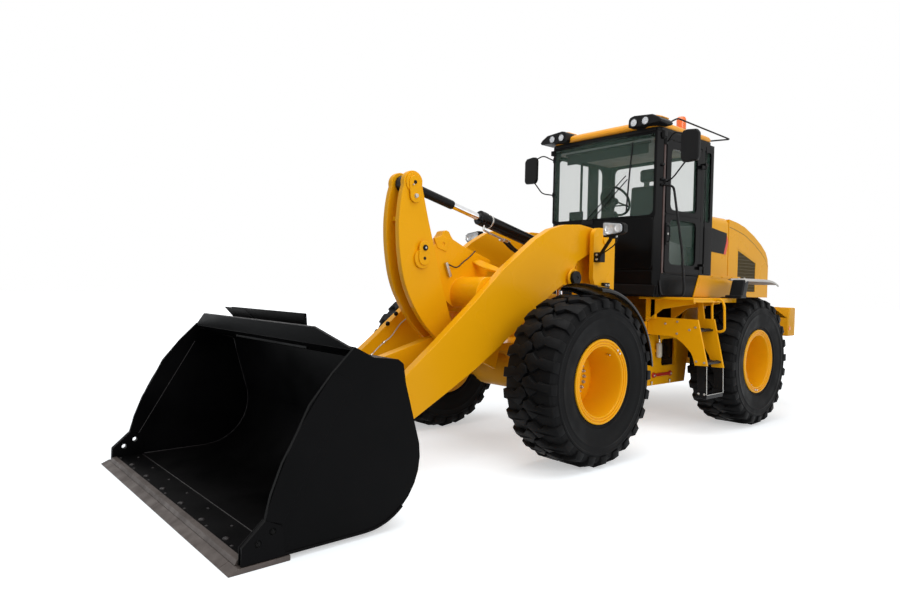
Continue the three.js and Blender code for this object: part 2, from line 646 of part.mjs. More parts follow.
put('tilt_cylinder_barrel', barrel(TILT), BLACK());
put('tilt_cylinder_rod', rod(TILT), CHROME());
for (const [name, side] of SIDES) {
  put(`${name}_lift_cylinder_barrel`, barrel(lift(side)), YELLOW());
  put(`${name}_lift_cylinder_rod`, rod(lift(side)), CHROME());
  put(`${name}_steering_cylinder_barrel`, barrel(steer(side)), YELLOW());
  put(`${name}_steering_cylinder_rod`, rod(steer(side)), CHROME());
}

// ---------------------------------------------------------------- rear frame
function rearFrame() {
  const front = -300;
  const archFront = -HALF_WHEELBASE + REAR_ARCH_HALF;
  const archRear = -HALF_WHEELBASE - REAR_ARCH_HALF;
  const web = outline([
    [front, 1180], [front, 450], [archFront + 90, 450], [archFront, AXLE_SEAT_Z],
    [archRear, AXLE_SEAT_Z], [archRear - 100, 620], [-2800, 700], [-2940, 900], [-2940, 1370],
    [-2760, 1370], [-2760, DECK_Z - DECK_T + 10],
    [-1300, DECK_Z - DECK_T + 10], [-1100, 1180],
  ]);
  const body = [];
  for (const side of [1, -1]) {
    body.push(onSide(side, sidePlate(web, REAR_FRAME_HALF - REAR_PLATE, REAR_FRAME_HALF)));
    body.push(onSide(side, upright(22, STEER_BASE, STEER_Z - 70, STEER_Z + 70)));
    const root = [STEER_BASE[0] - 60, REAR_FRAME_HALF - 30];
    for (const z of [STEER_Z - 70, STEER_Z + 50]) {
      body.push(onSide(side, roundedBar(STEER_BASE, root, 50, z, z + 20)));
    }
    // hinge lugs of the hood
    body.push(onSide(side, join(
      box(-2835, -2785, 300, 330, 1350, 1530), box(-2885, -2785, 300, 330, 1472, 1530),
      crossBar(HOOD_PIN_R, HOOD_HINGE, 300, 400),
    )));
    // deck over the frame beside the engine
    const deck = box(-2740, COWL_FRONT + 10, REAR_FRAME_HALF - 10, HOOD_HALF, DECK_Z - DECK_T, DECK_Z);
    body.push(onSide(side, deck));
  }
  const half = REAR_FRAME_HALF;
  for (const z of [HITCH_LOW_Z, HITCH_HIGH_Z]) {
    const lug = cut(hitchLug(z, z + HITCH_PLATE, front - 20, half - 10),
      upright(KINGPIN_R + BORE_GAP, [0, 0], z - 5, z + HITCH_PLATE + 5));
    body.push(lug);
  }
  body.push(box(-2940, -2900, -half, half, 880, 1370), box(-2940, -2770, -half, half, 1345, 1370));
  const [seatFront, seatRear] = [archFront + 30, archRear - 40];
  body.push(box(seatFront, seatFront + 40, -half, half, 900, 1180));
  body.push(box(seatRear, seatFront, -FRAME_HALF, FRAME_HALF, AXLE_SEAT_Z, AXLE_SEAT_Z + 40));
  body.push(box(seatFront - 60, seatFront, -half, half, AXLE_SEAT_Z, 1000));
  body.push(box(seatRear, archRear, -half, half, AXLE_SEAT_Z, 1000));
  body.push(box(archFront + 100, front - 20, -half, half, 1150, 1180));
  return join(body);
}
put('rear_frame', rearFrame(), YELLOW());

// Side platforms with their brackets on the frame.
function platform() {
  const inner = REAR_FRAME_HALF + FIT;
  const deck = box(-1200, -250, inner - 60, DECK_HALF, DECK_Z - DECK_T, DECK_Z - FIT);
  const tip = DECK_HALF - 20;
  const gusset = outline([[inner, 1180], [inner, DECK_Z - 20], [tip, DECK_Z - 20], [tip, 1400]]);
  const lowBracket = outline([[inner, 1050], [1170, 1050], [1170, 1262], [inner, 1262]]);
  return join(
    deck, frontPlate(gusset, -330, -300), frontPlate(gusset, -860, -830),
    frontPlate(lowBracket, -345, -300), box(-340, -300, 560, 620, 1250, DECK_Z - 20),
  );
}

// Two bolted side plates with treads, and a hanging bottom step.
function ladder() {
  const inner = 1060;
  const outer = 1235;
  const sides = [-370, -725].map((x) => box(x, x + 25, inner, outer, 700, 1262));
  const treads = [755, 1000, 1240].map((z) => box(-725, -350, inner, outer - 10, z - 14, z + 14));
  const hangers = [-370, -725].map((x) => box(x, x + 25, inner + 10, outer - 20, 400, 745));
  const bottomStep = box(-725, -350, inner + 10, outer - 20, 400, 425);
  return join(sides, treads, hangers, bottomStep);
}
for (const [name, side] of SIDES) {
  put(`${name}_platform_and_ladder`, onSide(side, join(platform(), ladder())), YELLOW());
}

// Rear fenders on the platform's rear end.
function rearFender() {
  const post = outline([[-1010, DECK_Z], [-900, DECK_Z], [-1000, 1690], [-1110, 1690]]);
  return join(
    sidePlate(post, 770, 1265), box(-HALF_WHEELBASE - 430, -1000, 770, 1265, 1662, 1690),
  );
}
for (const [name, side] of SIDES) put(`${name}_rear_fender`, onSide(side, rearFender()), GREY_PLASTIC());

put('engine_block', join(
  box(-2700, -1900, -330, 330, 1000, 1640), box(-2550, -2050, -200, 200, 1630, 1900),
  box(-2600, -2560, -330, REAR_FRAME_HALF - REAR_PLATE - FIT, 1020, 1080),
), IRON());

// ---------------------------------------------------------------- counterweight
function counterweight() {
  const x0 = -2940 - FIT;
  const slab = outline([
    [x0, 760], [x0, 1300], [-3200, 1345], [TAIL_X + 40, 1345], [TAIL_X, 1300], [TAIL_X, 900],
    [TAIL_X + 90, 760],
  ]);
  const wing = outline([[-3040, 960], [-3270, 960], [-3270, 1345], [-3100, 1345], [-3040, 1200]]);
  return join(sidePlate(slab, -700, 700), sidePlate(wing, -950, 950));
}
put('counterweight', counterweight(), YELLOW());

// ---------------------------------------------------------------- hood
function hoodSection(half, top, low, corner) {
  const section = new THREE.Shape();
  section.moveTo(-half, low);
  section.lineTo(half, low);
  section.lineTo(half, top - corner);
  section.absarc(half - corner, top - corner, corner, 0, Math.PI / 2, false);
  section.absarc(-half + corner, top - corner, corner, Math.PI / 2, Math.PI, false);
  section.closePath();
  return section;
}

function cowl() {
  const low = DECK_Z + FIT;
  const inside = HOOD_HALF - HOOD_WALL;
  const outer = frontPlate(hoodSection(HOOD_HALF, COWL_TOP, low, 90), COWL_REAR + MOVE_GAP, COWL_FRONT, 5);
  const hollow = hoodSection(inside, COWL_TOP - HOOD_WALL, low - 50, 60);
  return cut(outer, frontPlate(hollow, COWL_REAR - 10, COWL_FRONT - HOOD_WALL, 5));
}
put('engine_cowl', cowl(), YELLOW());

// The top line falls to the rear, and the sides carry a shallow grille recess.
function hood() {
  const low = DECK_Z + MOVE_GAP;
  const top = [
    [COWL_REAR, 2440], [-2030, 2415], [-2230, 2375], [-2500, 2280], [-2720, 2175], [-2860, 2085],
    [-2925, 2000], [HOOD_REAR, 1900],
  ];
  const outer = outline([[COWL_REAR, low], ...top, [HOOD_REAR, low]]);
  const front = COWL_REAR + 20;
  const rear = HOOD_REAR + HOOD_WALL;
  const hollow = outline([
    [front, low - 60], [front, top[0][1] - HOOD_WALL],
    ...top.slice(1, -2).map(([x, z]) => [x + 8, z - HOOD_WALL]), [rear, 1960], [rear, low - 60],
  ]);
  const inside = HOOD_HALF - HOOD_WALL;
  const shell = cut(sidePlate(outer, -HOOD_HALF, HOOD_HALF), sidePlate(hollow, -inside, inside));
  const recess = box(-2570, -2050, HOOD_HALF - 12, HOOD_HALF + 5, 1530, 2080);
  const knuckle = sidePlate(outline([
    [HOOD_REAR + 10, 1480], [-2900, 1480], ...arc(HOOD_HINGE, 28, -60, 120, 5), [-2930, 1600],
    [HOOD_REAR + 10, 1600],
  ]), 345, 375);
  const body = join(cut(shell, recess, mirrored(recess)), knuckle, mirrored(knuckle));
  return cut(body, crossBar(HOOD_PIN_R + BORE_GAP, HOOD_HINGE, -390, 390));
}
put('engine_hood', hood(), YELLOW());

const STACK = [(COWL_FRONT + COWL_REAR) / 2 + 5, -330];
put('exhaust_stack', join(
  upright(60, STACK, COWL_TOP + FIT, 2800), upright(42, STACK, 2790, 2990),
), IRON());

// ---------------------------------------------------------------- cab
function cabPlan(half, front, rear, corner) {
  return outline([
    [rear, -half], [front - corner, -half], [front, -half + corner], [front, half - corner],
    [front - corner, half], [rear, half],
  ]);
}

// Window openings as boxes: x0, x1, y0, y1, z0, z1.
const FRONT_OPENING = [CAB_FRONT - CAB_WALL - 10, CAB_FRONT + 10, -CAB_HALF + 80, CAB_HALF - 80, 1850, 3190];
const REAR_OPENING = [CAB_REAR - 10, CAB_REAR + CAB_WALL + 10, -CAB_HALF + 90, CAB_HALF - 90, 2480, 3170];
const RIGHT_WALL = [-CAB_HALF - 10, -CAB_HALF + CAB_WALL + 10];
const RIGHT_OPENING = [CAB_REAR + 90, DOOR_FRONT, ...RIGHT_WALL, 1900, DOOR_HIGH];
const LEFT_WALL = [CAB_HALF - CAB_WALL - 10, CAB_HALF + 10];
const QUARTER_OPENING = [CAB_REAR + 55, DOOR_REAR - 75, ...LEFT_WALL, 2330, DOOR_HIGH];
const DOOR_HINGE = [DOOR_REAR - 28, CAB_HALF + 30];

function cabShell() {
  const outer = flatPlate(cabPlan(CAB_HALF, CAB_FRONT, CAB_REAR, 60), DECK_Z, CAB_TOP);
  const room = cabPlan(CAB_HALF - CAB_WALL, CAB_FRONT - CAB_WALL, CAB_REAR + CAB_WALL, 50);
  const inner = flatPlate(room, DECK_Z + CAB_SKIN, CAB_TOP - CAB_SKIN);
  const doorway = box(
    DOOR_REAR - MOVE_GAP, DOOR_FRONT + MOVE_GAP, CAB_HALF - CAB_WALL - 10, CAB_HALF + 10,
    DOOR_LOW - MOVE_GAP, DOOR_HIGH + MOVE_GAP,
  );
  const hatch = box(-1000, -400, -500, 500, CAB_TOP - 60, CAB_TOP + 10);
  const openings = [FRONT_OPENING, REAR_OPENING, RIGHT_OPENING, QUARTER_OPENING];
  const windows = openings.map((sizes) => box(...sizes));
  const hinges = HINGE_Z.map((z) => join(
    box(DOOR_REAR - 75, DOOR_REAR - 12, CAB_HALF - 10, CAB_HALF + 44, z, z + 30),
    upright(HINGE_PIN_R, DOOR_HINGE, z - 40, z + 30, 16),
  ));
  return join(cut(outer, inner, doorway, hatch, windows), hinges);
}
put('cab_shell', cabShell(), BLACK());

// A pane in an opening, with its outer face at a given place across the wall.
function paneAcrossX([, , y0, y1, z0, z1], x) {
  return box(x, x + GLASS_T, y0 + FIT, y1 - FIT, z0 + FIT, z1 - FIT);
}
function paneAcrossY([x0, x1, , , z0, z1], y) {
  return box(x0 + FIT, x1 - FIT, y, y + GLASS_T, z0 + FIT, z1 - FIT);
}
put('windshield', paneAcrossX(FRONT_OPENING, CAB_FRONT - 30), GLASS());
put('rear_window', paneAcrossX(REAR_OPENING, CAB_REAR + 20), GLASS());
put('right_window', paneAcrossY(RIGHT_OPENING, -CAB_HALF + 20), GLASS());
put('left_rear_window', paneAcrossY(QUARTER_OPENING, CAB_HALF - 30), GLASS());

const DOOR_PANES = [[2400, DOOR_HIGH - DOOR_RAIL + 10], [DOOR_LOW + DOOR_RAIL, 2330]];
function doorPane([z0, z1], y0, y1) {
  return [DOOR_REAR + DOOR_RAIL, DOOR_FRONT - DOOR_RAIL, y0, y1, z0, z1];
}

function door() {
  const y0 = CAB_HALF - 45;
  const y1 = CAB_HALF;
  const panes = DOOR_PANES.map((heights) => box(...doorPane(heights, y0 - 5, y1 + 5)));
  const frame = cut(box(DOOR_REAR, DOOR_FRONT, y0, y1, DOOR_LOW, DOOR_HIGH), panes);
  const knuckles = HINGE_Z.map((z) => {
    const [low, high] = [z - 38, z - FIT - 1];
    const body = join(
      box(DOOR_REAR, DOOR_REAR + 60, y1 - 5, y1 + 40, low, high),
      box(DOOR_HINGE[0] + 10, DOOR_REAR + 10, y1 + 8, y1 + 40, low, high),
      upright(20, DOOR_HINGE, low, high, 16),
    );
    return cut(body, upright(HINGE_PIN_R + BORE_GAP, DOOR_HINGE, low - 20, high + 20, 16));
  });
  return join(frame, knuckles);
}
put('cab_door', door(), BLACK());
['upper', 'lower'].forEach((name, i) => {
  put(`door_glass_${name}`, paneAcrossY(doorPane(DOOR_PANES[i], 0, 0), CAB_HALF - 26), GLASS());
});

function roof() {
  const low = CAB_TOP + FIT;
  const plate = flatPlate(cabPlan(CAB_HALF - 10, CAB_FRONT + 40, CAB_REAR - 20, 120), low, low + 70);
  const raised = cabPlan(CAB_HALF - 120, CAB_FRONT - 60, CAB_REAR + 60, 160);
  const crown = flatPlate(raised, low + 60, low + ROOF_T - 30);
  const pods = [1, -1].map((s) => onSide(s, box(CAB_FRONT - 60, 140, 520, 715, 3235, 3385)));
  const clearOf = box(CAB_REAR, CAB_FRONT + FIT, -CAB_HALF, CAB_HALF, 3200, low);
  return cut(join(plate, crown, pods), clearOf);
}
put('cab_roof', roof(), ORANGE_YELLOW());

const FLOOR_Z = DECK_Z + CAB_SKIN + FIT;
put('seat', join(
  box(-1010, -560, -250, 250, 1900, 2010), box(-1080, -980, -230, 230, 1960, 2600),
  box(-900, -700, -120, 120, FLOOR_Z, 1910), box(-1110, -1040, -130, 130, 2560, 2780),
), CLOTH());

const WHEEL_HUB = [-402, 0, 2190];
put('steering_console', join(
  box(-330, -230, -110, 110, FLOOR_Z, 2080), strut(20, [-290, 0, 2050], [-400, 0, 2180]),
  solid(new THREE.TorusGeometry(185, 14, 5, 14).rotateY(-0.55).translate(...WHEEL_HUB)),
  strut(12, [WHEEL_HUB[0], -183, WHEEL_HUB[2]], [WHEEL_HUB[0], 183, WHEEL_HUB[2]], 8),
), BLACK_PLASTIC());

function mirror() {
  const wall = CAB_HALF + FIT;
  const root = DOOR_FRONT + 25;
  return join(
    box(-140, -85, 985, 1190, 2860, 3200),
    bentTube(12, [[root, wall, 3090], [root, wall + 30, 3090], [-110, 900, 3130], [-110, 1060, 3110]], 7),
    bentTube(12, [[root, wall, 2700], [root, wall + 30, 2700], [-110, 900, 2720], [-110, 1070, 2880]], 9),
  );
}
for (const [name, side] of SIDES) put(`${name}_mirror`, onSide(side, mirror()), BLACK_PLASTIC());

const BEACON = [-1120, 400];
const ROOF_FACE = CAB_TOP + ROOF_T - 30 + FIT;
put('beacon', join(upright(55, BEACON, ROOF_FACE + FIT, 3480), upright(48, BEACON, 3470, 3640)), AMBER());

export default loader;
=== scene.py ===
import json
import math

import bpy
from mathutils import Matrix, Vector


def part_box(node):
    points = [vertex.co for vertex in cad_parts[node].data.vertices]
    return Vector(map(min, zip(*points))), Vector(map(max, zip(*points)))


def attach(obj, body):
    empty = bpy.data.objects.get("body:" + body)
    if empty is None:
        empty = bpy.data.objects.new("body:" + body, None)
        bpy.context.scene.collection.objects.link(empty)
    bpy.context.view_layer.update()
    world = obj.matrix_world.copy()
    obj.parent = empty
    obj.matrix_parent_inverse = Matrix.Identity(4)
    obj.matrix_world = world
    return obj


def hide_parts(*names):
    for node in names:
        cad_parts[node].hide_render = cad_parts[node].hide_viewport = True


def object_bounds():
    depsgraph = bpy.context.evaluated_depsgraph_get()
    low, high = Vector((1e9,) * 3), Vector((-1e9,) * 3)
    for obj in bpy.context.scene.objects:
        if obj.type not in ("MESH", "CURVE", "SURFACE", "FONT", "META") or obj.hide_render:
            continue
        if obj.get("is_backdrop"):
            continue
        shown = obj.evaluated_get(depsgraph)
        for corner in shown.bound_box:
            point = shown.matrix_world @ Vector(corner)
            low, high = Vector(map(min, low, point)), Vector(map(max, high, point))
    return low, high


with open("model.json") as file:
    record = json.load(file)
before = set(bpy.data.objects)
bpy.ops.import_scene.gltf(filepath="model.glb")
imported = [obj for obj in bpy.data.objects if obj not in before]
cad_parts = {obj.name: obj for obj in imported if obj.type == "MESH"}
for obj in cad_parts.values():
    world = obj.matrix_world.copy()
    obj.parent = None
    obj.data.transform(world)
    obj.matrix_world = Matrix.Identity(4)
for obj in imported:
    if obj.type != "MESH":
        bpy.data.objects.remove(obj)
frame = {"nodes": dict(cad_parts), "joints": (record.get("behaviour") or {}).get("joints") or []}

cad_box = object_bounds()
pivots = {j["name"]: Vector(j["pos_m"]) for j in frame["joints"] if "pos_m" in j}
SIDES = ((1, "left"), (-1, "right"))

# ---------------------------------------------------------------- Camera
# It stands ahead of the machine on its left side at eye height, looking back past the bucket.
# It is rolled slightly about its own axis.
eye = Vector((5.430, 4.533, 1.517))
yaw, pitch, roll = math.radians(229.09), math.radians(-1.16), math.radians(1.26)
ahead = Vector((math.cos(yaw) * math.cos(pitch), math.sin(yaw) * math.cos(pitch), math.sin(pitch)))
right = ahead.cross(Vector((0, 0, 1))).normalized()
up = right.cross(ahead)
across = math.cos(roll) * right + math.sin(roll) * up
upward = -math.sin(roll) * right + math.cos(roll) * up
bpy.ops.object.camera_add()
camera = bpy.context.object
camera.name = "camera"
camera.matrix_world = Matrix((
    (across.x, upward.x, -ahead.x, eye.x),
    (across.y, upward.y, -ahead.y, eye.y),
    (across.z, upward.z, -ahead.z, eye.z),
    (0, 0, 0, 1),
))
camera.data.sensor_width = 36.0
camera.data.lens = 25.848
camera.data.clip_end = 200
bpy.context.scene.camera = camera


def deselect():
    """Leaves object mode with nothing selected, so that the next operator acts on its own piece."""
    if bpy.context.object and bpy.context.object.mode != "OBJECT":
        bpy.ops.object.mode_set(mode="OBJECT")
    bpy.ops.object.select_all(action="DESELECT")


# ---------------------------------------------------------------- Studio
# A white floor under white surroundings, lit like a soft overcast day: one wide lamp overhead and
# one on the camera's side. The floor glows only where it is looked at, so that it stays white
# around the machine's shadow.
def add_node(tree, kind, settings=(), **inputs):
    """A shader node with its settings, and values for its inputs by name, or _0, _1 by number."""
    made = tree.nodes.new("ShaderNode" + kind)
    for key, value in dict(settings).items():
        setattr(made, key, value)
    for key, value in inputs.items():
        made.inputs[int(key[1:]) if key[0] == "_" else key.replace("_", " ")].default_value = value
    return made


def seen_directly(tree):
    """1 for camera, mirror and glass rays, 0 for the rays that light the object."""
    path = add_node(tree, "LightPath")
    total = path.outputs["Is Camera Ray"]
    for kind in ("Is Glossy Ray", "Is Transmission Ray"):
        either = add_node(tree, "Math", {"operation": "MAXIMUM"})
        tree.links.new(total, either.inputs[0])
        tree.links.new(path.outputs[kind], either.inputs[1])
        total = either.outputs[0]
    return total


world = bpy.data.worlds.new("studio")
world.use_nodes = True
bpy.context.scene.world = world
tree = world.node_tree
sky = add_node(tree, "MapRange", To_Min=0.50, To_Max=1.0)
tree.links.new(seen_directly(tree), sky.inputs["Value"])
tree.links.new(sky.outputs[0], tree.nodes["Background"].inputs["Strength"])
tree.nodes["Background"].inputs["Color"].default_value = (1, 1, 1, 1)

deselect()
bpy.ops.mesh.primitive_plane_add(size=160)
floor = bpy.context.object
floor.name = "floor"
white = bpy.data.materials.new("floor_white")
white.use_nodes = True
tree = white.node_tree
shade = tree.nodes["Principled BSDF"]
shade.inputs["Base Color"].default_value = (0.78, 0.83, 0.87, 1)
shade.inputs["Roughness"].default_value = 1
shade.inputs["Specular IOR Level"].default_value = 0
shade.inputs["Emission Color"].default_value = (1, 1, 1, 1)
place = add_node(tree, "TexCoord")
far = add_node(tree, "VectorMath", {"operation": "LENGTH"})
glow = add_node(tree, "MapRange", From_Min=4.0, From_Max=11.0, To_Min=0.46, To_Max=1.0)
seen = add_node(tree, "Math", {"operation": "MULTIPLY"})
tree.links.new(place.outputs["Object"], far.inputs[0])
tree.links.new(far.outputs["Value"], glow.inputs["Value"])
tree.links.new(glow.outputs[0], seen.inputs[0])
tree.links.new(seen_directly(tree), seen.inputs[1])
tree.links.new(seen.outputs[0], shade.inputs["Emission Strength"])
floor.data.materials.append(white)
floor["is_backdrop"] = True

for name, place, target, power, size in (
    ("overhead", (1.0, 1.0, 9.0), (0.2, 0, 1.0), 450, 8.0),
    ("side_fill", (3.0, 9.0, 5.0), (0.4, 0, 1.0), 270, 5.0),
):
    deselect()
    bpy.ops.object.light_add(type="AREA", location=place)
    lamp = bpy.context.object
    lamp.name = name
    lamp.data.energy = power
    lamp.data.size = size
    lamp.rotation_euler = (Vector(target) - Vector(place)).to_track_quat("-Z", "Y").to_euler()
bpy.context.scene.view_settings.view_transform = "Standard"


# ---------------------------------------------------------------- Tyres
# Radial loader tyres of black rubber, one per wheel. Each has a moulded carcass with rings on its
# sidewalls, and deep staggered lugs that reach from the crown down over the shoulders.
def effect_group(name, sockets):
    """A new shader node group with its inputs and outputs: (name, kind, default) or (name, kind)."""
    group = bpy.data.node_groups.new(name, "ShaderNodeTree")
    for socket, kind, *default in sockets:
        side = "INPUT" if default else "OUTPUT"
        made = group.interface.new_socket(name=socket, in_out=side, socket_type="NodeSocket" + kind)
        if default:
            made.default_value = default[0]
    return group, group.nodes.new("NodeGroupInput"), group.nodes.new("NodeGroupOutput")


def noise(tree, scale, detail=3.0, stretch=(1, 1, 1)):
    """A noise pattern fixed to the piece, finer as the scale grows."""
    place = add_node(tree, "TexCoord")
    turn = add_node(tree, "Mapping", Scale=stretch)
    pattern = add_node(tree, "TexNoise", Detail=detail)
    tree.links.new(place.outputs["Object"], turn.inputs["Vector"])
    tree.links.new(turn.outputs[0], pattern.inputs["Vector"])
    if isinstance(scale, float):
        pattern.inputs["Scale"].default_value = scale
    else:
        tree.links.new(scale, pattern.inputs["Scale"])
    return pattern.outputs["Fac"]


# Mottle: the colour drifts between two tones, as paint and rubber do over a large surface.
mottle, given, result = effect_group("mottle", (
    ("Tone A", "Color", (0.5, 0.5, 0.5, 1)), ("Tone B", "Color", (0.4, 0.4, 0.4, 1)),
    ("Scale", "Float", 3.0), ("Color", "Color"), ("Mask", "Float"),
))
spread = add_node(mottle, "MapRange", From_Min=0.35, From_Max=0.65)
mix = add_node(mottle, "MixRGB")
mottle.links.new(noise(mottle, given.outputs["Scale"], 4.0), spread.inputs["Value"])
mottle.links.new(spread.outputs[0], mix.inputs["Fac"])
mottle.links.new(given.outputs["Tone A"], mix.inputs[1])
mottle.links.new(given.outputs["Tone B"], mix.inputs[2])
mottle.links.new(mix.outputs[0], result.inputs["Color"])
mottle.links.new(spread.outputs[0], result.inputs["Mask"])

# Grain: fine relief of a sprayed, cast or moulded surface.
grain, given, result = effect_group("grain", (
    ("Scale", "Float", 200.0), ("Depth", "Float", 0.1), ("Normal", "Vector"),
))
bump = add_node(grain, "Bump", Distance=0.001)
grain.links.new(noise(grain, given.outputs["Scale"], 2.0), bump.inputs["Height"])
grain.links.new(given.outputs["Depth"], bump.inputs["Strength"])
grain.links.new(bump.outputs[0], result.inputs["Normal"])

# Dust: a thin pale film that settles on faces that look up, thicker towards the ground.
dust, given, result = effect_group("dust", (
    ("Color", "Color", (0.5, 0.5, 0.5, 1)), ("Dust Color", "Color", (0.30, 0.27, 0.23, 1)),
    ("Amount", "Float", 0.3), ("Clean Height", "Float", 2.0), ("Result", "Color"), ("Mask", "Float"),
))
surface = add_node(dust, "NewGeometry")
facing = add_node(dust, "SeparateXYZ")
place = add_node(dust, "SeparateXYZ")
upness = add_node(dust, "MapRange", From_Min=-0.2, From_Max=1.0, To_Min=0.15)
low = add_node(dust, "MapRange", From_Min=0.0, To_Min=1.0, To_Max=0.0)
patches = add_node(dust, "MapRange", From_Min=0.3, From_Max=0.7)
dust.links.new(surface.outputs["Normal"], facing.inputs[0])
dust.links.new(surface.outputs["Position"], place.inputs[0])
dust.links.new(facing.outputs["Z"], upness.inputs["Value"])
dust.links.new(place.outputs["Z"], low.inputs["Value"])
dust.links.new(given.outputs["Clean Height"], low.inputs["From Max"])
dust.links.new(noise(dust, 7.0, 6.0), patches.inputs["Value"])
mask = given.outputs["Amount"]
for part in (upness, low, patches):
    product = add_node(dust, "Math", {"operation": "MULTIPLY"})
    dust.links.new(mask, product.inputs[0])
    dust.links.new(part.outputs[0], product.inputs[1])
    mask = product.outputs[0]
mix = add_node(dust, "MixRGB")
dust.links.new(mask, mix.inputs["Fac"])
dust.links.new(given.outputs["Color"], mix.inputs[1])
dust.links.new(given.outputs["Dust Color"], mix.inputs[2])
dust.links.new(mix.outputs[0], result.inputs["Result"])
dust.links.new(mask, result.inputs["Mask"])


def use_group(tree, group, **values):
    """Places an effect in a material with its own values."""
    made = tree.nodes.new("ShaderNodeGroup")
    made.node_tree = group
    for key, value in values.items():
        made.inputs[key.replace("_", " ")].default_value = value
    return made


def surface_of(name, tones, roughness, scale=2.5, relief=(260.0, 0.08), dusting=0.0, clean=2.0, **plain):
    """A material: two tones that drift into each other, fine relief, roughness and a film of dust."""
    made = bpy.data.materials.new(name)
    made.use_nodes = True
    tree = made.node_tree
    shader = tree.nodes["Principled BSDF"]
    drift = use_group(tree, mottle, Tone_A=(*tones[0], 1), Tone_B=(*tones[1], 1), Scale=scale)
    film = use_group(tree, dust, Amount=dusting, Clean_Height=clean)
    skin = use_group(tree, grain, Scale=relief[0], Depth=relief[1])
    sheen = add_node(tree, "MapRange", To_Min=roughness[0], To_Max=roughness[1])
    tree.links.new(drift.outputs["Color"], film.inputs["Color"])
    tree.links.new(film.outputs["Result"], shader.inputs["Base Color"])
    tree.links.new(drift.outputs["Mask"], sheen.inputs["Value"])
    tree.links.new(sheen.outputs[0], shader.inputs["Roughness"])
    tree.links.new(skin.outputs["Normal"], shader.inputs["Normal"])
    for key, value in plain.items():
        shader.inputs[key.replace("_", " ")].default_value = value
    return made


def smooth(obj, degrees=35):
    """Shades the piece smooth, apart from its sharp edges."""
    deselect()
    obj.select_set(True)
    bpy.context.view_layer.objects.active = obj
    bpy.ops.object.shade_smooth_by_angle(angle=math.radians(degrees))


def soften(obj, width=0.004, segments=2, degrees=30, flat=True):
    """Rounds the edges of a piece, and keeps its large faces looking flat."""
    deselect()
    obj.select_set(True)
    bpy.context.view_layer.objects.active = obj
    edge = obj.modifiers.new("edges", "BEVEL")
    edge.width = width
    edge.segments = segments
    edge.limit_method = "ANGLE"
    edge.angle_limit = math.radians(degrees)
    bpy.ops.object.modifier_apply(modifier="edges")
    bpy.ops.object.shade_smooth_by_angle(angle=math.radians(60))
    if flat:
        weigh = obj.modifiers.new("weigh", "WEIGHTED_NORMAL")
        weigh.keep_sharp = True
        bpy.ops.object.modifier_apply(modifier="weigh")
    return obj


def dress(obj, material, body, slot, *stands_for):
    """Gives a piece its finish, fastens it to its body and hides what it stands for."""
    obj.data.materials.clear()
    obj.data.materials.append(material)
    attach(obj, body)
    if stands_for:
        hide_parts(*stands_for)
    return obj


def corners(name, points):
    """A flat face with its corners at the given points, in order."""
    deselect()
    bpy.ops.mesh.primitive_circle_add(vertices=len(points), fill_type="NGON")
    obj = bpy.context.object
    obj.name = name
    for vertex, point in zip(obj.data.vertices, points):
        vertex.co = point
    return obj


def outward(obj):
    """Merges doubled corners and turns every face outwards."""
    deselect()
    bpy.context.view_layer.objects.active = obj
    bpy.ops.object.mode_set(mode="EDIT")
    bpy.ops.mesh.select_all(action="SELECT")
    bpy.ops.mesh.remove_doubles(threshold=0.00005)
    bpy.ops.mesh.normals_make_consistent(inside=False)
    bpy.ops.object.mode_set(mode="OBJECT")
    return obj


def slab(name, points, thick):
    """A plate: the outline through the points, made thick along one direction."""
    obj = corners(name, points)
    bpy.ops.object.mode_set(mode="EDIT")
    bpy.ops.mesh.select_all(action="SELECT")
    bpy.ops.mesh.extrude_region_move(TRANSFORM_OT_translate={"value": thick})
    return outward(obj)


def side_slab(name, points, y0, y1):
    """A plate with a side outline of (x, z) points, from y0 to y1."""
    return slab(name, [(x, y0, z) for x, z in points], (0, y1 - y0, 0))


def spun(name, profile, axis, centre, steps, degrees=360):
    """A profile of (radius, along) points turned about an axis, X, Y or Z, through a centre."""
    lines = {"X": lambda r, a: (a, 0, r), "Y": lambda r, a: (0, a, r), "Z": lambda r, a: (r, 0, a)}
    obj = corners(name, [Vector(centre) + Vector(lines[axis](r, a)) for r, a in profile])
    bpy.ops.object.mode_set(mode="EDIT")
    bpy.ops.mesh.delete(type="ONLY_FACE")
    bpy.ops.mesh.select_all(action="SELECT")
    normal = {"X": (1, 0, 0), "Y": (0, 1, 0), "Z": (0, 0, 1)}[axis]
    bpy.ops.mesh.spin(steps=steps, angle=math.radians(degrees), center=centre, axis=normal)
    return outward(obj)


def joined(name, pieces):
    """Several meshes made one piece."""
    deselect()
    for piece in pieces:
        piece.select_set(True)
    bpy.context.view_layer.objects.active = pieces[0]
    if len(pieces) > 1:
        bpy.ops.object.join()
    pieces[0].name = name
    return pieces[0]


def copies(name, model, places):
    """One piece made of copies of a model, each with its own mesh, at the given places."""
    made = []
    for place in places:
        twin = model.copy()
        twin.data = model.data.copy()
        twin.data.transform(place)
        bpy.context.scene.collection.objects.link(twin)
        made.append(twin)
    bpy.data.objects.remove(model)
    return joined(name, made)


def about(centre, axis, degrees):
    """A turn about an axis through a centre."""
    turn = Matrix.Rotation(math.radians(degrees), 4, axis)
    return Matrix.Translation(centre) @ turn @ Matrix.Translation(-Vector(centre))


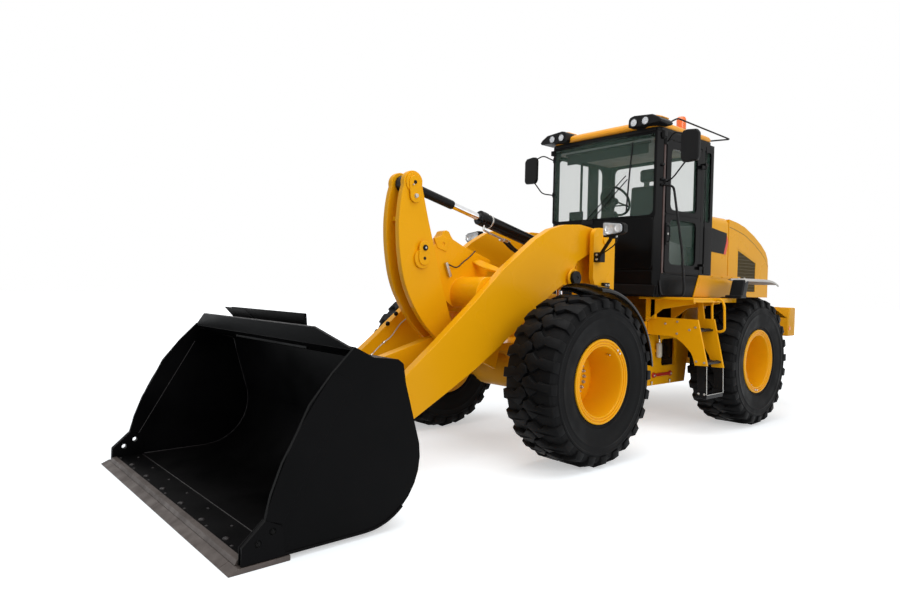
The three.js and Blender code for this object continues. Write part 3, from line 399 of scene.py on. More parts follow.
TYRE_R = 0.740
LUGS = 24
rubber = surface_of(
    "tyre_rubber", ((0.0038, 0.0038, 0.0042), (0.0062, 0.0062, 0.0066)), (0.46, 0.66), scale=6.0,
    relief=(420.0, 0.25), dusting=0.022, clean=1.6, Specular_IOR_Level=0.07,
)
carcass_profile = [
    (0.330, -0.205), (0.366, -0.222), (0.392, -0.231), (0.400, -0.243), (0.412, -0.243), (0.420, -0.246),
    (0.500, -0.260), (0.540, -0.2625), (0.546, -0.2655), (0.556, -0.2655), (0.562, -0.2625), (0.600, -0.262),
    (0.606, -0.266), (0.618, -0.266), (0.626, -0.258), (0.668, -0.250), (0.692, -0.232), (0.702, -0.200),
    (0.707, -0.100), (0.708, 0.0),
]
carcass_profile += [(r, -y) for r, y in carcass_profile[-2::-1]]

# Half a tread: (along the rolling direction, across from the crown, height) for a lug's top corners.
lug_top = [
    (-0.062, -0.012), (-0.010, -0.022), (0.012, 0.010), (0.050, 0.030), (0.078, 0.062), (0.052, 0.104),
    (0.034, 0.132), (0.044, 0.180), (0.052, 0.262), (-0.030, 0.262), (-0.036, 0.190), (-0.046, 0.150),
    (-0.030, 0.112), (-0.052, 0.078), (-0.082, 0.048),
]


def crown(across):
    """The height of a lug's top over the axle, which falls away at the shoulder."""
    over = max(0.0, abs(across) - 0.205)
    return TYRE_R - 0.0005 - 0.10 * abs(across) ** 2 - 9.0 * over ** 2


def make_lug(centre, side):
    """One lug on top of the tyre: its outline is extruded down into the carcass and splayed."""
    top = [(u, side * v, crown(v)) for u, v in lug_top]
    obj = corners("lug", [Vector(centre) + Vector(p) for p in top])
    bpy.ops.object.mode_set(mode="EDIT")
    bpy.ops.mesh.select_all(action="SELECT")
    bpy.ops.mesh.extrude_region_move(TRANSFORM_OT_translate={"value": (0, 0, -0.048)})
    bpy.ops.transform.resize(value=(1.10, 1.02, 1))
    bpy.ops.object.mode_set(mode="OBJECT")
    for vertex in obj.data.vertices:
        off = vertex.co - Vector(centre)
        if abs(off.y) > 0.25 and off.z < crown(off.y) - 0.02:
            vertex.co.z -= 0.022
            vertex.co.y = centre[1] + side * 0.2690
        reach = (vertex.co - Vector(centre)).x
        vertex.co.z -= TYRE_R - math.sqrt(TYRE_R ** 2 - reach ** 2)
    outward(obj)
    return soften(obj, 0.005, 2, 30, flat=False)


for wheel in ("front_left", "front_right", "rear_left", "rear_right"):
    centre = pivots[wheel + "_wheel_spin"]
    side = 1 if "left" in wheel else -1
    carcass = spun("carcass", carcass_profile, "Y", centre, 96)
    smooth(carcass, 25)
    pitch_angle = 360 / LUGS
    treads = []
    for half, stagger in ((1, 0.0), (-1, 0.5)):
        places = [about(centre, "Y", (i + stagger) * pitch_angle) for i in range(LUGS)]
        lug = make_lug(centre, half)
        treads.append(copies("tread", lug, places))
    tyre = joined(wheel + "_tyre_rubber", [carcass, *treads])
    dress(tyre, rubber, wheel + "_wheel", "tyre_rubber", wheel + "_tyre")


# ---------------------------------------------------------------- Rims
# Deep-dished steel rims, sprayed yellow: a flange of three rolled rings, a lock ring, and a wheel
# disc bolted to the hub by a ring of plated nuts.
def metal(name, tone, roughness, relief=(700.0, 0.05)):
    """Bare or plated metal whose gloss varies a little."""
    dark = tuple(0.8 * c for c in tone)
    return surface_of(name, (tone, dark), roughness, scale=14.0, relief=relief, Metallic=1.0)


yellow = surface_of(
    "yellow_paint", ((0.880, 0.405, 0.004), (0.840, 0.382, 0.003)), (0.24, 0.34), scale=1.1,
    relief=(420.0, 0.035), dusting=0.02, clean=1.8, Specular_IOR_Level=0.14,
)
plated = metal("plated_steel", (0.62, 0.61, 0.58), (0.22, 0.36))


def aimed(place, direction, turn=0.0):
    """The placing that takes a model made upright at the origin to a place, facing a direction."""
    face = Vector(direction).to_track_quat("Z", "Y").to_matrix().to_4x4()
    return Matrix.Translation(place) @ face @ Matrix.Rotation(math.radians(turn), 4, "Z")


def disc(name, radius, low, high, sides=24, width=0.002):
    """An upright round with softened rims, made about the origin."""
    deselect()
    bpy.ops.mesh.primitive_cylinder_add(vertices=sides, radius=radius, depth=high - low)
    obj = bpy.context.object
    obj.name = name
    obj.data.transform(Matrix.Translation((0, 0, (low + high) / 2)))
    return soften(obj, width, 1, 40) if width else obj


def bolt_model(width, stud=0.0):
    """A hexagon head or nut on its washer, and the stud that stands through it."""
    washer = disc("washer", 0.66 * width, 0, 0.12 * width, 16, 0)
    head = disc("head", 0.577 * width, 0.12 * width, 0.62 * width, 6, 0.05 * width)
    parts = [washer, head]
    if stud:
        parts.append(disc("stud", 0.30 * width, 0, 0.62 * width + stud, 10, 0.03 * width))
    return joined("bolt", parts)


def bolts(name, width, spots, body, slot="rod_chrome", finish=None, stud=0.0):
    """A set of bolts of one width across the flats at (place, direction) spots on a body."""
    places = [aimed(place, way, 17.0 * i) for i, (place, way) in enumerate(spots)]
    piece = copies(name, bolt_model(width, stud), places)
    smooth(piece, 35)
    return dress(piece, finish or plated, body, slot)


rim_profile = [
    (0.3600, 0.2140), (0.3655, 0.2190), (0.3660, 0.2330), (0.3610, 0.2385), (0.3520, 0.2390),
    (0.3470, 0.2350), (0.3450, 0.2270), (0.3400, 0.2270), (0.3380, 0.2320), (0.3330, 0.2355),
    (0.3270, 0.2350), (0.3235, 0.2310), (0.3220, 0.2230), (0.3170, 0.2230), (0.3150, 0.2270),
    (0.3100, 0.2300), (0.3040, 0.2290), (0.3000, 0.2240), (0.2970, 0.2050), (0.2890, 0.1000),
    (0.2850, -0.0500), (0.2830, -0.1200), (0.2880, -0.1500), (0.2980, -0.2050), (0.3050, -0.2300),
    (0.3400, -0.2390), (0.3600, -0.2385), (0.3660, -0.2320), (0.3655, -0.2190), (0.3600, -0.2140),
    (0.3260, -0.2040), (0.3180, -0.1900), (0.3180, 0.1900), (0.3260, 0.2040),
]
disc_profile = [
    (0.2840, -0.1020), (0.2620, -0.0980), (0.2450, -0.0900), (0.0960, -0.0900), (0.0960, -0.1120),
    (0.2500, -0.1120), (0.2660, -0.1200), (0.2840, -0.1220),
]
cap_profile = [
    (0.0, -0.0560), (0.0660, -0.0560), (0.0740, -0.0600), (0.0780, -0.0680), (0.1080, -0.0700),
    (0.1120, -0.0740), (0.1120, -0.0900), (0.0680, -0.0900), (0.0660, -0.0680), (0.0, -0.0680),
]

for wheel, lock_angle in (("front_left", 132), ("front_right", 150), ("rear_left", 278), ("rear_right", 30)):
    centre = pivots[wheel + "_wheel_spin"]
    side = 1 if "left" in wheel else -1
    body = wheel + "_wheel"
    rounds = []
    for profile, steps in ((rim_profile, 96), (disc_profile, 72), (cap_profile, 48)):
        turned = spun("rim", [(r, side * a) for r, a in profile], "Y", centre, steps)
        smooth(turned, 30)
        rounds.append(turned)
    rim = joined(wheel + "_rim_steel", rounds)
    dress(rim, yellow, body, "yellow_paint", wheel + "_rim")

    def at(radius, degrees, along):
        """A point on the wheel by its radius, angle and distance from the tyre's middle."""
        angle = math.radians(degrees)
        return centre + Vector((radius * math.cos(angle), side * along, radius * math.sin(angle)))

    out = (0, side, 0)
    nuts = [(at(0.160, 18 * i, -0.0900), out) for i in range(20)]
    bolts(wheel + "_wheel_nuts", 0.027, nuts, body, stud=0.009)
    caps = [(at(0.094, 45 * i + 11, -0.0700), out) for i in range(8)]
    bolts(wheel + "_hub_bolts", 0.014, caps, body, finish=yellow, slot="yellow_paint")
    # the lock ring's two driving lugs, and the valve in its well
    lugs = []
    for turn in (-4, 4):
        lug = disc("lug", 0.013, 0, 0.010, 4, 0.002)
        lug.data.transform(aimed(at(0.331, lock_angle + turn, 0.2330), out, 45 + lock_angle))
        lugs.append(lug)
    valve = disc("valve", 0.006, 0, 0.050, 12, 0.001)
    valve.data.transform(aimed(at(0.288, lock_angle - 2, 0.130),
                               Vector(out) - at(1, lock_angle, 0) * 0.2 + centre * 0.2))
    lugs.append(valve)
    dress(joined(wheel + "_lock_lugs", lugs), plated, body, "rod_chrome")
    weights = [(at(0.283, 92, 0.02), at(0, 0, 0.02) - at(1, 92, 0.02))]
    bolts(wheel + "_well_bolt", 0.030, weights, body, finish=yellow, slot="yellow_paint", stud=0.012)


# ---------------------------------------------------------------- Axles and frames
# Cast axle housings with their planetary ends, and the two frames of welded plate that meet at the
# steering hitch, all sprayed yellow. The CAD shapes are carried over with rounded edges.
black = surface_of(
    "black_paint", ((0.0040, 0.0040, 0.0045), (0.0060, 0.0060, 0.0065)), (0.20, 0.32), scale=1.6,
    relief=(420.0, 0.04), dusting=0.02, clean=1.8, Specular_IOR_Level=0.14,
)
black_plastic = surface_of(
    "black_plastic", ((0.0050, 0.0050, 0.0054), (0.0070, 0.0070, 0.0074)), (0.34, 0.48), scale=5.0,
    relief=(900.0, 0.18), dusting=0.02, Specular_IOR_Level=0.13,
)
hose_rubber = surface_of(
    "hose_rubber", ((0.0060, 0.0060, 0.0065), (0.0095, 0.0095, 0.0100)), (0.40, 0.55), scale=20.0,
    relief=(1200.0, 0.25), dusting=0.02, Specular_IOR_Level=0.3,
)
cast = surface_of(
    "axle_paint", ((0.760, 0.360, 0.008), (0.700, 0.325, 0.006)), (0.36, 0.50), scale=3.0,
    relief=(160.0, 0.30), dusting=0.10, clean=1.6, Specular_IOR_Level=0.16,
)


def pierced(obj, cutters):
    """Cuts the joined cutters out of a piece."""
    cutter = joined("cutter", cutters)
    deselect()
    bpy.context.view_layer.objects.active = obj
    obj.select_set(True)
    cut = obj.modifiers.new("holes", "BOOLEAN")
    cut.operation = "DIFFERENCE"
    cut.solver = "EXACT"
    cut.object = cutter
    bpy.ops.object.modifier_apply(modifier="holes")
    bpy.data.objects.remove(cutter)
    return obj


def rounded(x0, x1, z0, z1, radius, steps=5):
    """The outline of a rectangle with round corners."""
    points = []
    for cx, cz, first in ((x1 - radius, z1 - radius, 0), (x0 + radius, z1 - radius, 90),
                          (x0 + radius, z0 + radius, 180), (x1 - radius, z0 + radius, 270)):
        for i in range(steps + 1):
            angle = math.radians(first + 90 * i / steps)
            points.append((cx + radius * math.cos(angle), cz + radius * math.sin(angle)))
    return points


def carried(name, node, width=0.005, degrees=30, flat=True, holes=()):
    """A CAD node's own shape as a new piece: triangles merged into faces, cut, and edges rounded."""
    obj = bpy.data.objects.new(name, frame["nodes"][node].data.copy())
    bpy.context.scene.collection.objects.link(obj)
    deselect()
    obj.select_set(True)
    bpy.context.view_layer.objects.active = obj
    bpy.ops.mesh.customdata_custom_splitnormals_clear()
    bpy.ops.object.mode_set(mode="EDIT")
    bpy.ops.mesh.select_all(action="SELECT")
    bpy.ops.mesh.remove_doubles(threshold=0.0002)
    bpy.ops.mesh.dissolve_limited(angle_limit=math.radians(1.0))
    bpy.ops.object.mode_set(mode="OBJECT")
    if holes:
        pierced(obj, holes)
    return soften(obj, width, 2, degrees, flat)


def block(name, low, high, width=0.003):
    """A rectangular piece between two corners with softened edges."""
    deselect()
    low, high = Vector(low), Vector(high)
    bpy.ops.mesh.primitive_cube_add(size=1, location=(low + high) / 2)
    obj = bpy.context.object
    obj.name = name
    obj.data.transform(Matrix.Diagonal((*[abs(v) for v in high - low], 1)))
    bpy.ops.object.transform_apply(location=True, rotation=False, scale=False)
    return soften(obj, width, 2, 30) if width else obj


def pipe(name, points, radius, material=None, body=None, slot=None, bend=0.06, sides=3):
    """A bent rod, pipe or hose: straight runs through the points with round bends between."""
    points = [Vector(p) for p in points]
    route = [points[0]]
    for before, corner, after in zip(points, points[1:], points[2:]):
        back, on = before - corner, after - corner
        reach = min(bend, 0.49 * back.length, 0.49 * on.length)
        first, last = corner + reach * back.normalized(), corner + reach * on.normalized()
        for i in range(7):
            t = i / 6
            route.append((1 - t) ** 2 * first + 2 * t * (1 - t) * corner + t ** 2 * last)
    route.append(points[-1])
    deselect()
    bpy.ops.curve.primitive_nurbs_path_add()
    obj = bpy.context.object
    obj.name = name
    obj.data.splines.remove(obj.data.splines[0])
    spline = obj.data.splines.new("POLY")
    spline.points.add(len(route) - 1)
    for point, place in zip(spline.points, route):
        point.co = (*place, 1)
    obj.data.bevel_depth = radius
    obj.data.bevel_resolution = sides
    obj.data.use_fill_caps = True
    bpy.ops.object.convert(target="MESH")
    smooth(obj, 50)
    if material:
        dress(obj, material, body, slot)
    return obj


for end, body in (("front", "front_frame"), ("rear", "chassis")):
    housing = carried(end + "_axle_housing", end + "_axle", 0.004, 40)
    dress(housing, cast, body, "yellow_paint", end + "_axle")
    low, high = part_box(end + "_axle")
    middle = (low + high) / 2
    spots = []
    for side in (1, -1):
        for i in range(10):
            angle = math.radians(36 * i)
            ring = Vector((0.150 * math.cos(angle), side * 0.252, 0.150 * math.sin(angle)))
            spots.append((middle + ring, (0, side, 0)))
    bolts(end + "_axle_flange_bolts", 0.018, spots, body, finish=cast, slot="yellow_paint")

front_welds = carried("front_frame_weldment", "front_frame", 0.005, 35)
dress(front_welds, yellow, "front_frame", "yellow_paint", "front_frame")
HITCH_OPENING = rounded(-1.640, -1.318, 0.663, 0.974, 0.040)
cutters = [slab("opening", [(x, side * 0.440, z) for x, z in HITCH_OPENING],
                (0, side * 0.100, 0)) for side in (1, -1)]
rear_welds = carried("rear_frame_weldment", "rear_frame", 0.005, 35, holes=cutters)
dress(rear_welds, yellow, "chassis", "yellow_paint", "rear_frame")


# ---------------------------------------------------------------- Boom and linkage
# Two solid lift arms joined by a cross tube with the lever's ears, the Z-bar tilt lever of two
# curved plates, and the link to the bucket, all welded steel sprayed yellow. Pins are held by keeper
# plates, each with a bolt, and a grease line is clipped to the right arm.
A = pivots["boom_lift"]
C = pivots["tilt_lever_turn"]
E = pivots["tilt_link_turn"]
F = Vector((C.x + 0.100, 0, C.z + 0.650))
G = Vector((A.x + 0.414, 0, A.z - 0.389))
ARM_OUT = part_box("left_lift_arm")[1].y - 0.025
LEVER_OUT = 0.118

for side, word in SIDES:
    arm = carried(word + "_lift_arm_plate", word + "_lift_arm", 0.006, 30)
    dress(arm, yellow, "boom", "yellow_paint", word + "_lift_arm")
tube = carried("cross_tube_weldment", "arm_cross_tube", 0.005, 35)
dress(tube, yellow, "boom", "yellow_paint", "arm_cross_tube")
link = carried("tilt_link_bar", "tilt_link", 0.008, 35)
dress(link, yellow, "tilt_link", "yellow_paint", "tilt_link")


def keeper(name, centre, other, half_width, face, side, thick=0.018):
    """A round-ended plate lying on a face, from a pin's centre to its bolt."""
    run = Vector(other) - Vector(centre)
    start = math.atan2(run.z, run.x)
    points = []
    for spot, first in ((Vector(other), start - math.pi / 2), (Vector(centre), start + math.pi / 2)):
        for i in range(13):
            angle = first + math.pi * i / 12
            points.append((spot.x + half_width * math.cos(angle), spot.z + half_width * math.sin(angle)))
    plate = side_slab(name, points, side * face, side * (face + thick))
    return soften(plate, 0.004, 2, 30)


def turned(name, profile, place, direction, steps=40, degrees=30):
    """A (radius, along) profile turned about a line from a place in a direction."""
    obj = spun(name, profile, "Z", (0, 0, 0), steps)
    obj.data.transform(aimed(place, direction))
    smooth(obj, degrees)
    return obj


def through(points, steps=5):
    """A smooth line through a list of (x, z) points."""
    ends = [points[0], *points, points[-1]]
    line = []
    for a, b, c, d in zip(ends, ends[1:], ends[2:], ends[3:]):
        for i in range(steps):
            t = i / steps
            line.append(tuple(
                0.5 * (2 * q + (r - p) * t + (2 * p - 5 * q + 4 * r - s) * t ** 2
                       + (3 * q - p - 3 * r + s) * t ** 3)
                for p, q, r, s in zip(a, b, c, d)
            ))
    return line + [points[-1]]


def round_about(centre, radius, angles):
    """Points on a round end, as (x, z), at angles in degrees."""
    turns = [math.radians(angle) for angle in angles]
    return [(centre.x + radius * math.cos(t), centre.z + radius * math.sin(t)) for t in turns]


# the lever: two curved plates with round ends, bored for the pivot in the middle, and the link's pin at the
# foot
LEVER_IN = 0.062
foremost = [(2.160, 2.330), (2.182, 2.200), (2.192, 2.030), (2.176, 1.810), (2.124, 1.570), (2.025, 1.365),
            (1.895, 1.190), (1.752, 1.058), (1.668, 0.962)]
rearmost = [(1.502, 0.964), (1.494, 1.040), (1.573, 1.195), (1.642, 1.379), (1.722, 1.616), (1.808, 1.900),
            (1.884, 2.150), (1.948, 2.390)]
top = round_about(F, 0.102, range(165, -16, -15))
foot = round_about(E, 0.095, range(-35, -146, -15))
outline = through(foremost) + foot + through(rearmost) + top
parts = []
for side in (1, -1):
    plate = side_slab("plate", outline, side * LEVER_IN, side * LEVER_OUT)
    bore = disc("bore", 0.052, -0.2, 0.2, 40, 0)
    bore.data.transform(aimed(C, (0, 1, 0)))
    parts.append(soften(pierced(plate, [bore]), 0.006, 2, 30))
pin = disc("pin", 0.0400, -LEVER_OUT - 0.010, LEVER_OUT + 0.010, 40, 0.002)
pin.data.transform(aimed(E, (0, 1, 0)))
dress(joined("tilt_lever_plates", [*parts, pin]), yellow, "tilt_lever", "yellow_paint", "tilt_lever")

black_bits, bright_bits, plate_bits = [], [], []
for side in (1, -1):
    out = (0, side, 0)
    # upper pin: keeper hangs straight down from it
    low_bolt = F + Vector((-0.012, 0, -0.115))
    boss = disc("boss", 0.085, 0, 0.012, 40, 0.003)
    boss.data.transform(aimed(Vector((F.x, side * LEVER_OUT, F.z)), out))
    plate_bits += [boss, keeper("keeper", F, low_bolt, 0.058, LEVER_OUT + 0.010, side, 0.014)]
    pin = disc("pin", 0.016, 0, 0.008, 20, 0.002)
    pin.data.transform(aimed(Vector((F.x, side * (LEVER_OUT + 0.022), F.z)), out))
    black_bits.append(pin)
    bolt = bolt_model(0.030)
    bolt.data.transform(aimed(Vector((low_bolt.x, side * (LEVER_OUT + 0.024), low_bolt.z)), out))
    bright_bits.append(bolt)
    # middle pin: a thick boss behind an upright keeper with the pin's end above and a tapped hole below
    boss = disc("boss", 0.085, 0, 0.024, 48, 0.004)
    boss.data.transform(aimed(Vector((C.x, side * LEVER_OUT, C.z)), out))
    top, foot = C + Vector((-0.012, 0, 0.096)), C + Vector((-0.010, 0, 0.004))
    plate_bits += [boss, keeper("keeper", top, foot, 0.060, LEVER_OUT + 0.023, side, 0.014)]
    end = disc("pin_end", 0.026, 0, 0.012, 28, 0.004)
    end.data.transform(aimed(Vector((top.x, side * (LEVER_OUT + 0.037), top.z)), out))
    hole = disc("hole", 0.014, 0, 0.0022, 20, 0)
    hole.data.transform(aimed(Vector((foot.x, side * (LEVER_OUT + 0.037), foot.z)), out))
    black_bits += [end, hole]
    centre = disc("centre", 0.009, 0, 0.004, 16, 0.001)
    centre.data.transform(aimed(Vector((top.x, side * (LEVER_OUT + 0.049), top.z)), out))
    nipple = disc("nipple", 0.007, 0, 0.020, 12, 0.002)
    nipple.data.transform(aimed(Vector((F.x + 0.024, side * (LEVER_OUT + 0.022), F.z - 0.024)), out))
    bright_bits += [centre, nipple]
    # lower pin, at the link
    boss = disc("boss", 0.062, 0, 0.012, 36, 0.003)
    boss.data.transform(aimed(Vector((E.x, side * LEVER_OUT, E.z)), out))
    plate_bits.append(boss)
    bolt = bolt_model(0.034)
    bolt.data.transform(aimed(Vector((E.x, side * (LEVER_OUT + 0.012), E.z)), out))
    bright_bits.append(bolt)
caps, rings = [], []
for side in (1, -1):
    place, out = Vector((G.x, side * (ARM_OUT + 0.0255), G.z)), (0, side, 0)
    rings.append(turned("ring", [(0.066, 0.0), (0.088, 0.0), (0.092, 0.006), (0.086, 0.018), (0.068, 0.018)],
                        place, out, 40))
    caps.append(turned("cap", [(0.0, 0.0), (0.067, 0.0), (0.071, 0.020), (0.070, 0.044), (0.062, 0.052),
                               (0.020, 0.053), (0.016, 0.046), (0.0, 0.046)], place, out, 36))
dress(joined("lift_pin_caps", caps), black, "boom", "black_paint")
dress(joined("lift_pin_rings", rings), yellow, "boom", "yellow_paint")
dress(joined("lever_keeper_plates", plate_bits), yellow, "tilt_lever", "yellow_paint")
dress(joined("lever_pin_ends", black_bits), black, "tilt_lever", "black_paint")
dress(joined("lever_bolts", bright_bits), plated, "tilt_lever", "rod_chrome")


# a stop block between the lever's plates
stop = block("stop", (2.085, -0.060, 2.080), (2.135, 0.060, 2.120), 0.006)
dress(stop, yellow, "tilt_lever", "yellow_paint")
stop.name = "lever_stop_block"

# on the cross tube: a lifting ear, and a grease block whose cable runs back over the front frame
ear = side_slab("ear", [(1.752, 1.956), (1.661, 1.985), (1.571, 1.956), (1.607, 1.840), (1.711, 1.870)],
                0.035, 0.058)
cutter = disc("hole", 0.017, -0.1, 0.1, 24, 0)
cutter.data.transform(aimed((1.643, 0.055, 1.906), (0, 1, 0)))
ear = soften(pierced(ear, [cutter]), 0.005, 2, 30)
dress(ear, yellow, "boom", "yellow_paint")
ear.name = "boom_lifting_ear"
outline = [(1.640, 1.735), (1.614, 1.745), (1.561, 1.619), (1.587, 1.608)]
grease = soften(side_slab("grease", outline, 0.066, 0.092), 0.003, 2, 30)
dress(grease, plated, "boom", "rod_chrome")
grease.name = "boom_grease_block"
cable = [(1.605, 0.088, 1.725), (1.505, 0.088, 1.691), (1.415, 0.088, 1.763), (1.354, 0.086, 1.797),
         (1.271, 0.080, 1.863)]
pipe("boom_grease_cable", cable, 0.006, hose_rubber, "boom", "black_plastic", 0.05)

# a cream grease line with plated nuts along the right arm's inner face, and two black caps
cream = surface_of(
    "cream_paint", ((0.62, 0.58, 0.48), (0.56, 0.52, 0.42)), (0.35, 0.48), scale=8.0, relief=(420.0, 0.05),
)
line = [(1.685, 1.228), (1.785, 1.159), (1.879, 1.044), (1.962, 0.993), (2.026, 0.949), (2.098, 0.884)]
inside = 0.001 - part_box("left_lift_arm")[0].y
pipe("arm_grease_line", [(x, inside + 0.006, z) for x, z in line], 0.0055, cream, "boom", "grey_plastic",
     0.04)
nuts = []
for x, z in (line[0], line[3], line[5]):
    nut = disc("nut", 0.012, -0.011, 0.011, 6, 0.002)
    nut.data.transform(aimed((x, inside + 0.008, z), (0.75, 0, -0.65)))
    nuts.append(nut)
dress(joined("arm_grease_nuts", nuts), plated, "boom", "rod_chrome")
caps = []
for x, z in ((1.829, 1.259), (1.922, 1.167)):
    caps.append(turned("cap", [(0.0, 0.018), (0.016, 0.017), (0.020, 0.012), (0.022, 0.0), (0.0, 0.0)],
                       (x, inside, z), (0, 1, 0), 28))
dress(joined("arm_hole_caps", caps), black_plastic, "boom", "black_plastic")

# a curved gusset over the cross tube on each side, from the lever's ear to the arm
gussets = []
for side in (1, -1):
    outline = [
        (1.280, 0.060, 1.769), (1.258, 0.130, 1.728), (1.248, 0.200, 1.702), (1.246, 0.300, 1.684),
        (1.250, 0.405, 1.670),
        (1.185, 0.405, 1.682), (1.200, 0.060, 1.790),
    ]
    gussets.append(soften(slab("gusset", [(x, side * y, z) for x, y, z in outline], (-0.002, 0, -0.018)),
                          0.003, 2, 30))
dress(joined("cross_tube_gussets", gussets), yellow, "boom", "yellow_paint")

# ---------------------------------------------------------------- Bucket
# A welded shell of black-painted plate: wrapper, cheeks with raised front strips, a lip with a
# spill guard, and bolted corner guards. A worn steel edge in four lengths is bolted under it.
bucket_black = surface_of(
    "bucket_black", ((0.0012, 0.0012, 0.0014), (0.0024, 0.0023, 0.0026)), (0.38, 0.52), scale=2.2,
    relief=(300.0, 0.10), dusting=0.006, clean=1.2, Specular_IOR_Level=0.05,
)
weld_bead = surface_of(
    "weld_bead", ((0.030, 0.026, 0.026), (0.016, 0.014, 0.015)), (0.35, 0.55), scale=40.0,
    relief=(160.0, 0.8), Specular_IOR_Level=0.3,
)
edge_steel = surface_of(
    "edge_steel", ((0.108, 0.088, 0.079), (0.078, 0.064, 0.058)), (0.38, 0.60), scale=9.0,
    relief=(240.0, 0.35), Metallic=0.30, Specular_IOR_Level=0.30,
)
BUCKET_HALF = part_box("bucket_shell")[1].y
EDGE_LOW, EDGE_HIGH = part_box("cutting_edge")
FLOOR_TOP = EDGE_HIGH.z + 0.0223
FLOOR_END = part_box("bucket_shell")[1].x
GUARD_HOLES = ((FLOOR_END - 0.169, 0.183), (FLOOR_END - 0.086, 0.134))


def round_through(first, middle, last, steps):
    """Points on the round that passes through three (x, z) points."""
    (ax, az), (bx, bz), (cx, cz) = first, middle, last
    d = 2 * (ax * (bz - cz) + bx * (cz - az) + cx * (az - bz))
    a2, b2, c2 = ax * ax + az * az, bx * bx + bz * bz, cx * cx + cz * cz
    ox = (a2 * (bz - cz) + b2 * (cz - az) + c2 * (az - bz)) / d
    oz = (a2 * (cx - bx) + b2 * (ax - cx) + c2 * (bx - ax)) / d
    radius = math.hypot(ax - ox, az - oz)
    start, end = math.atan2(az - oz, ax - ox), math.atan2(cz - oz, cx - ox)
    turns = [start + (end - start) * i / steps for i in range(steps + 1)]
    return [(ox + radius * math.cos(t), oz + radius * math.sin(t)) for t in turns]


def rods_across(spots, radius, low, high):
    """Rounds that run across the machine through (x, z) spots, for cutting holes."""
    made = []
    for x, z in spots:
        rod = disc("hole", radius, low, high, 24, 0)
        rod.data.transform(aimed((x, 0, z), (0, 1, 0)))
        made.append(rod)
    return made


cutters = rods_across(GUARD_HOLES, 0.019, -1.5, 1.5)
shell = carried("bucket_weldment", "bucket_shell", 0.004, 35, holes=cutters)
dress(shell, bucket_black, "bucket", "black_paint", "bucket_shell")

front_edge = round_through((3.497, 1.018), (3.772, 0.610), (3.910, 0.243), 28)
corner_top = (3.907, 0.248)
extras, beads = [], []
for side in (1, -1):
    face = side * BUCKET_HALF
    strip = side_slab("strip", front_edge + [(3.806, 0.206), (3.376, 0.945)], face, face + side * 0.008)
    extras.append(soften(strip, 0.003, 2, 40))
    outline = [
        corner_top, (FLOOR_END + 0.002, 0.128), (FLOOR_END + 0.004, 0.032), (3.792, 0.032), (3.812, 0.200),
    ]
    guard = side_slab("guard", outline, face - side * 0.002, face + side * 0.014)
    extras.append(soften(pierced(guard, rods_across(GUARD_HOLES, 0.019, -1.5, 1.5)), 0.003, 1, 40))
    inner = side_slab("inner_guard", outline, face - side * 0.022, face - side * 0.034)
    extras.append(soften(pierced(inner, rods_across(GUARD_HOLES, 0.019, -1.5, 1.5)), 0.003, 1, 40))
    heel = [(3.800, 0.036), (3.285, 0.036)]
    heel += [(3.265 + 0.403 * math.cos(math.radians(a)), 0.440 + 0.403 * math.sin(math.radians(a)))
             for a in range(264, 226, -6)]
    rail = pipe("heel_rail", [(x, face, z) for x, z in heel], 0.009, bend=0.03, sides=2)
    extras.append(rail)
    inside = [(3.800, FLOOR_TOP), (3.262, FLOOR_TOP)]
    inside += [(3.265 + 0.384 * math.cos(math.radians(a)), 0.440 + 0.384 * math.sin(math.radians(a)))
               for a in range(262, 156, -7)]
    inside += [(3.000, 0.905), (3.028, 1.012), (3.330, 1.110)]
    wall = face - side * 0.024
    beads.append(pipe("bead", [(x, wall, z) for x, z in inside], 0.0045, bend=0.02, sides=1))
    chord = [(3.838, wall, 0.231), (3.381, wall, 0.991)]
    beads.append(pipe("bead", chord, 0.0028, bend=0.02, sides=1))
beads.append(pipe("bead", [(3.812, -1.262, FLOOR_TOP), (3.812, 1.262, FLOOR_TOP)], 0.0035))
dress(joined("bucket_welds", beads), weld_bead, "bucket", "edge_steel")

# the folded left end of the spill guard, and the lip's bare top edge
fold = corners("fold", [(3.318, -0.350, 1.316), (3.345, -0.690, 1.319), (3.318, -0.560, 1.238),
                        (3.312, -0.180, 1.236)])
bpy.ops.object.mode_set(mode="EDIT")
bpy.ops.mesh.select_all(action="SELECT")
bpy.ops.mesh.extrude_region_move(TRANSFORM_OT_translate={"value": (0.012, 0, 0)})
extras.append(soften(outward(fold), 0.003, 1, 40))
dress(joined("bucket_wear_strips", extras), bucket_black, "bucket", "black_paint")
lip = block("lip_bare_edge", (3.414, -0.928, 1.2495), (3.436, 0.928, 1.2560), 0.002)
dress(lip, weld_bead, "bucket", "edge_steel")

# plough bolts in three rows through the floor into the edge
rows = [(3.976, -0.954 + 0.380 * i) for i in range(6)]
domes = [(x, y, FLOOR_TOP, 0.021) for x, y in rows]
domes += [(3.990, -1.225 + 0.3815 * i, FLOOR_TOP, 0.011) for i in range(7)]
domes += [(3.870, -1.165 + 0.388 * i, FLOOR_TOP, 0.010) for i in range(7)]
heads = []
for x, y, z, radius in domes:
    deselect()
    bpy.ops.mesh.primitive_uv_sphere_add(segments=16, ring_count=8, radius=radius, location=(x, y, z))
    head = bpy.context.object
    bpy.ops.object.transform_apply(location=True, rotation=False, scale=False)
    for vertex in head.data.vertices:
        vertex.co.z = z + 0.6 * (vertex.co.z - z)
    smooth(head, 60)
    heads.append(head)
dress(joined("bucket_floor_bolts", heads), weld_bead, "bucket", "edge_steel")

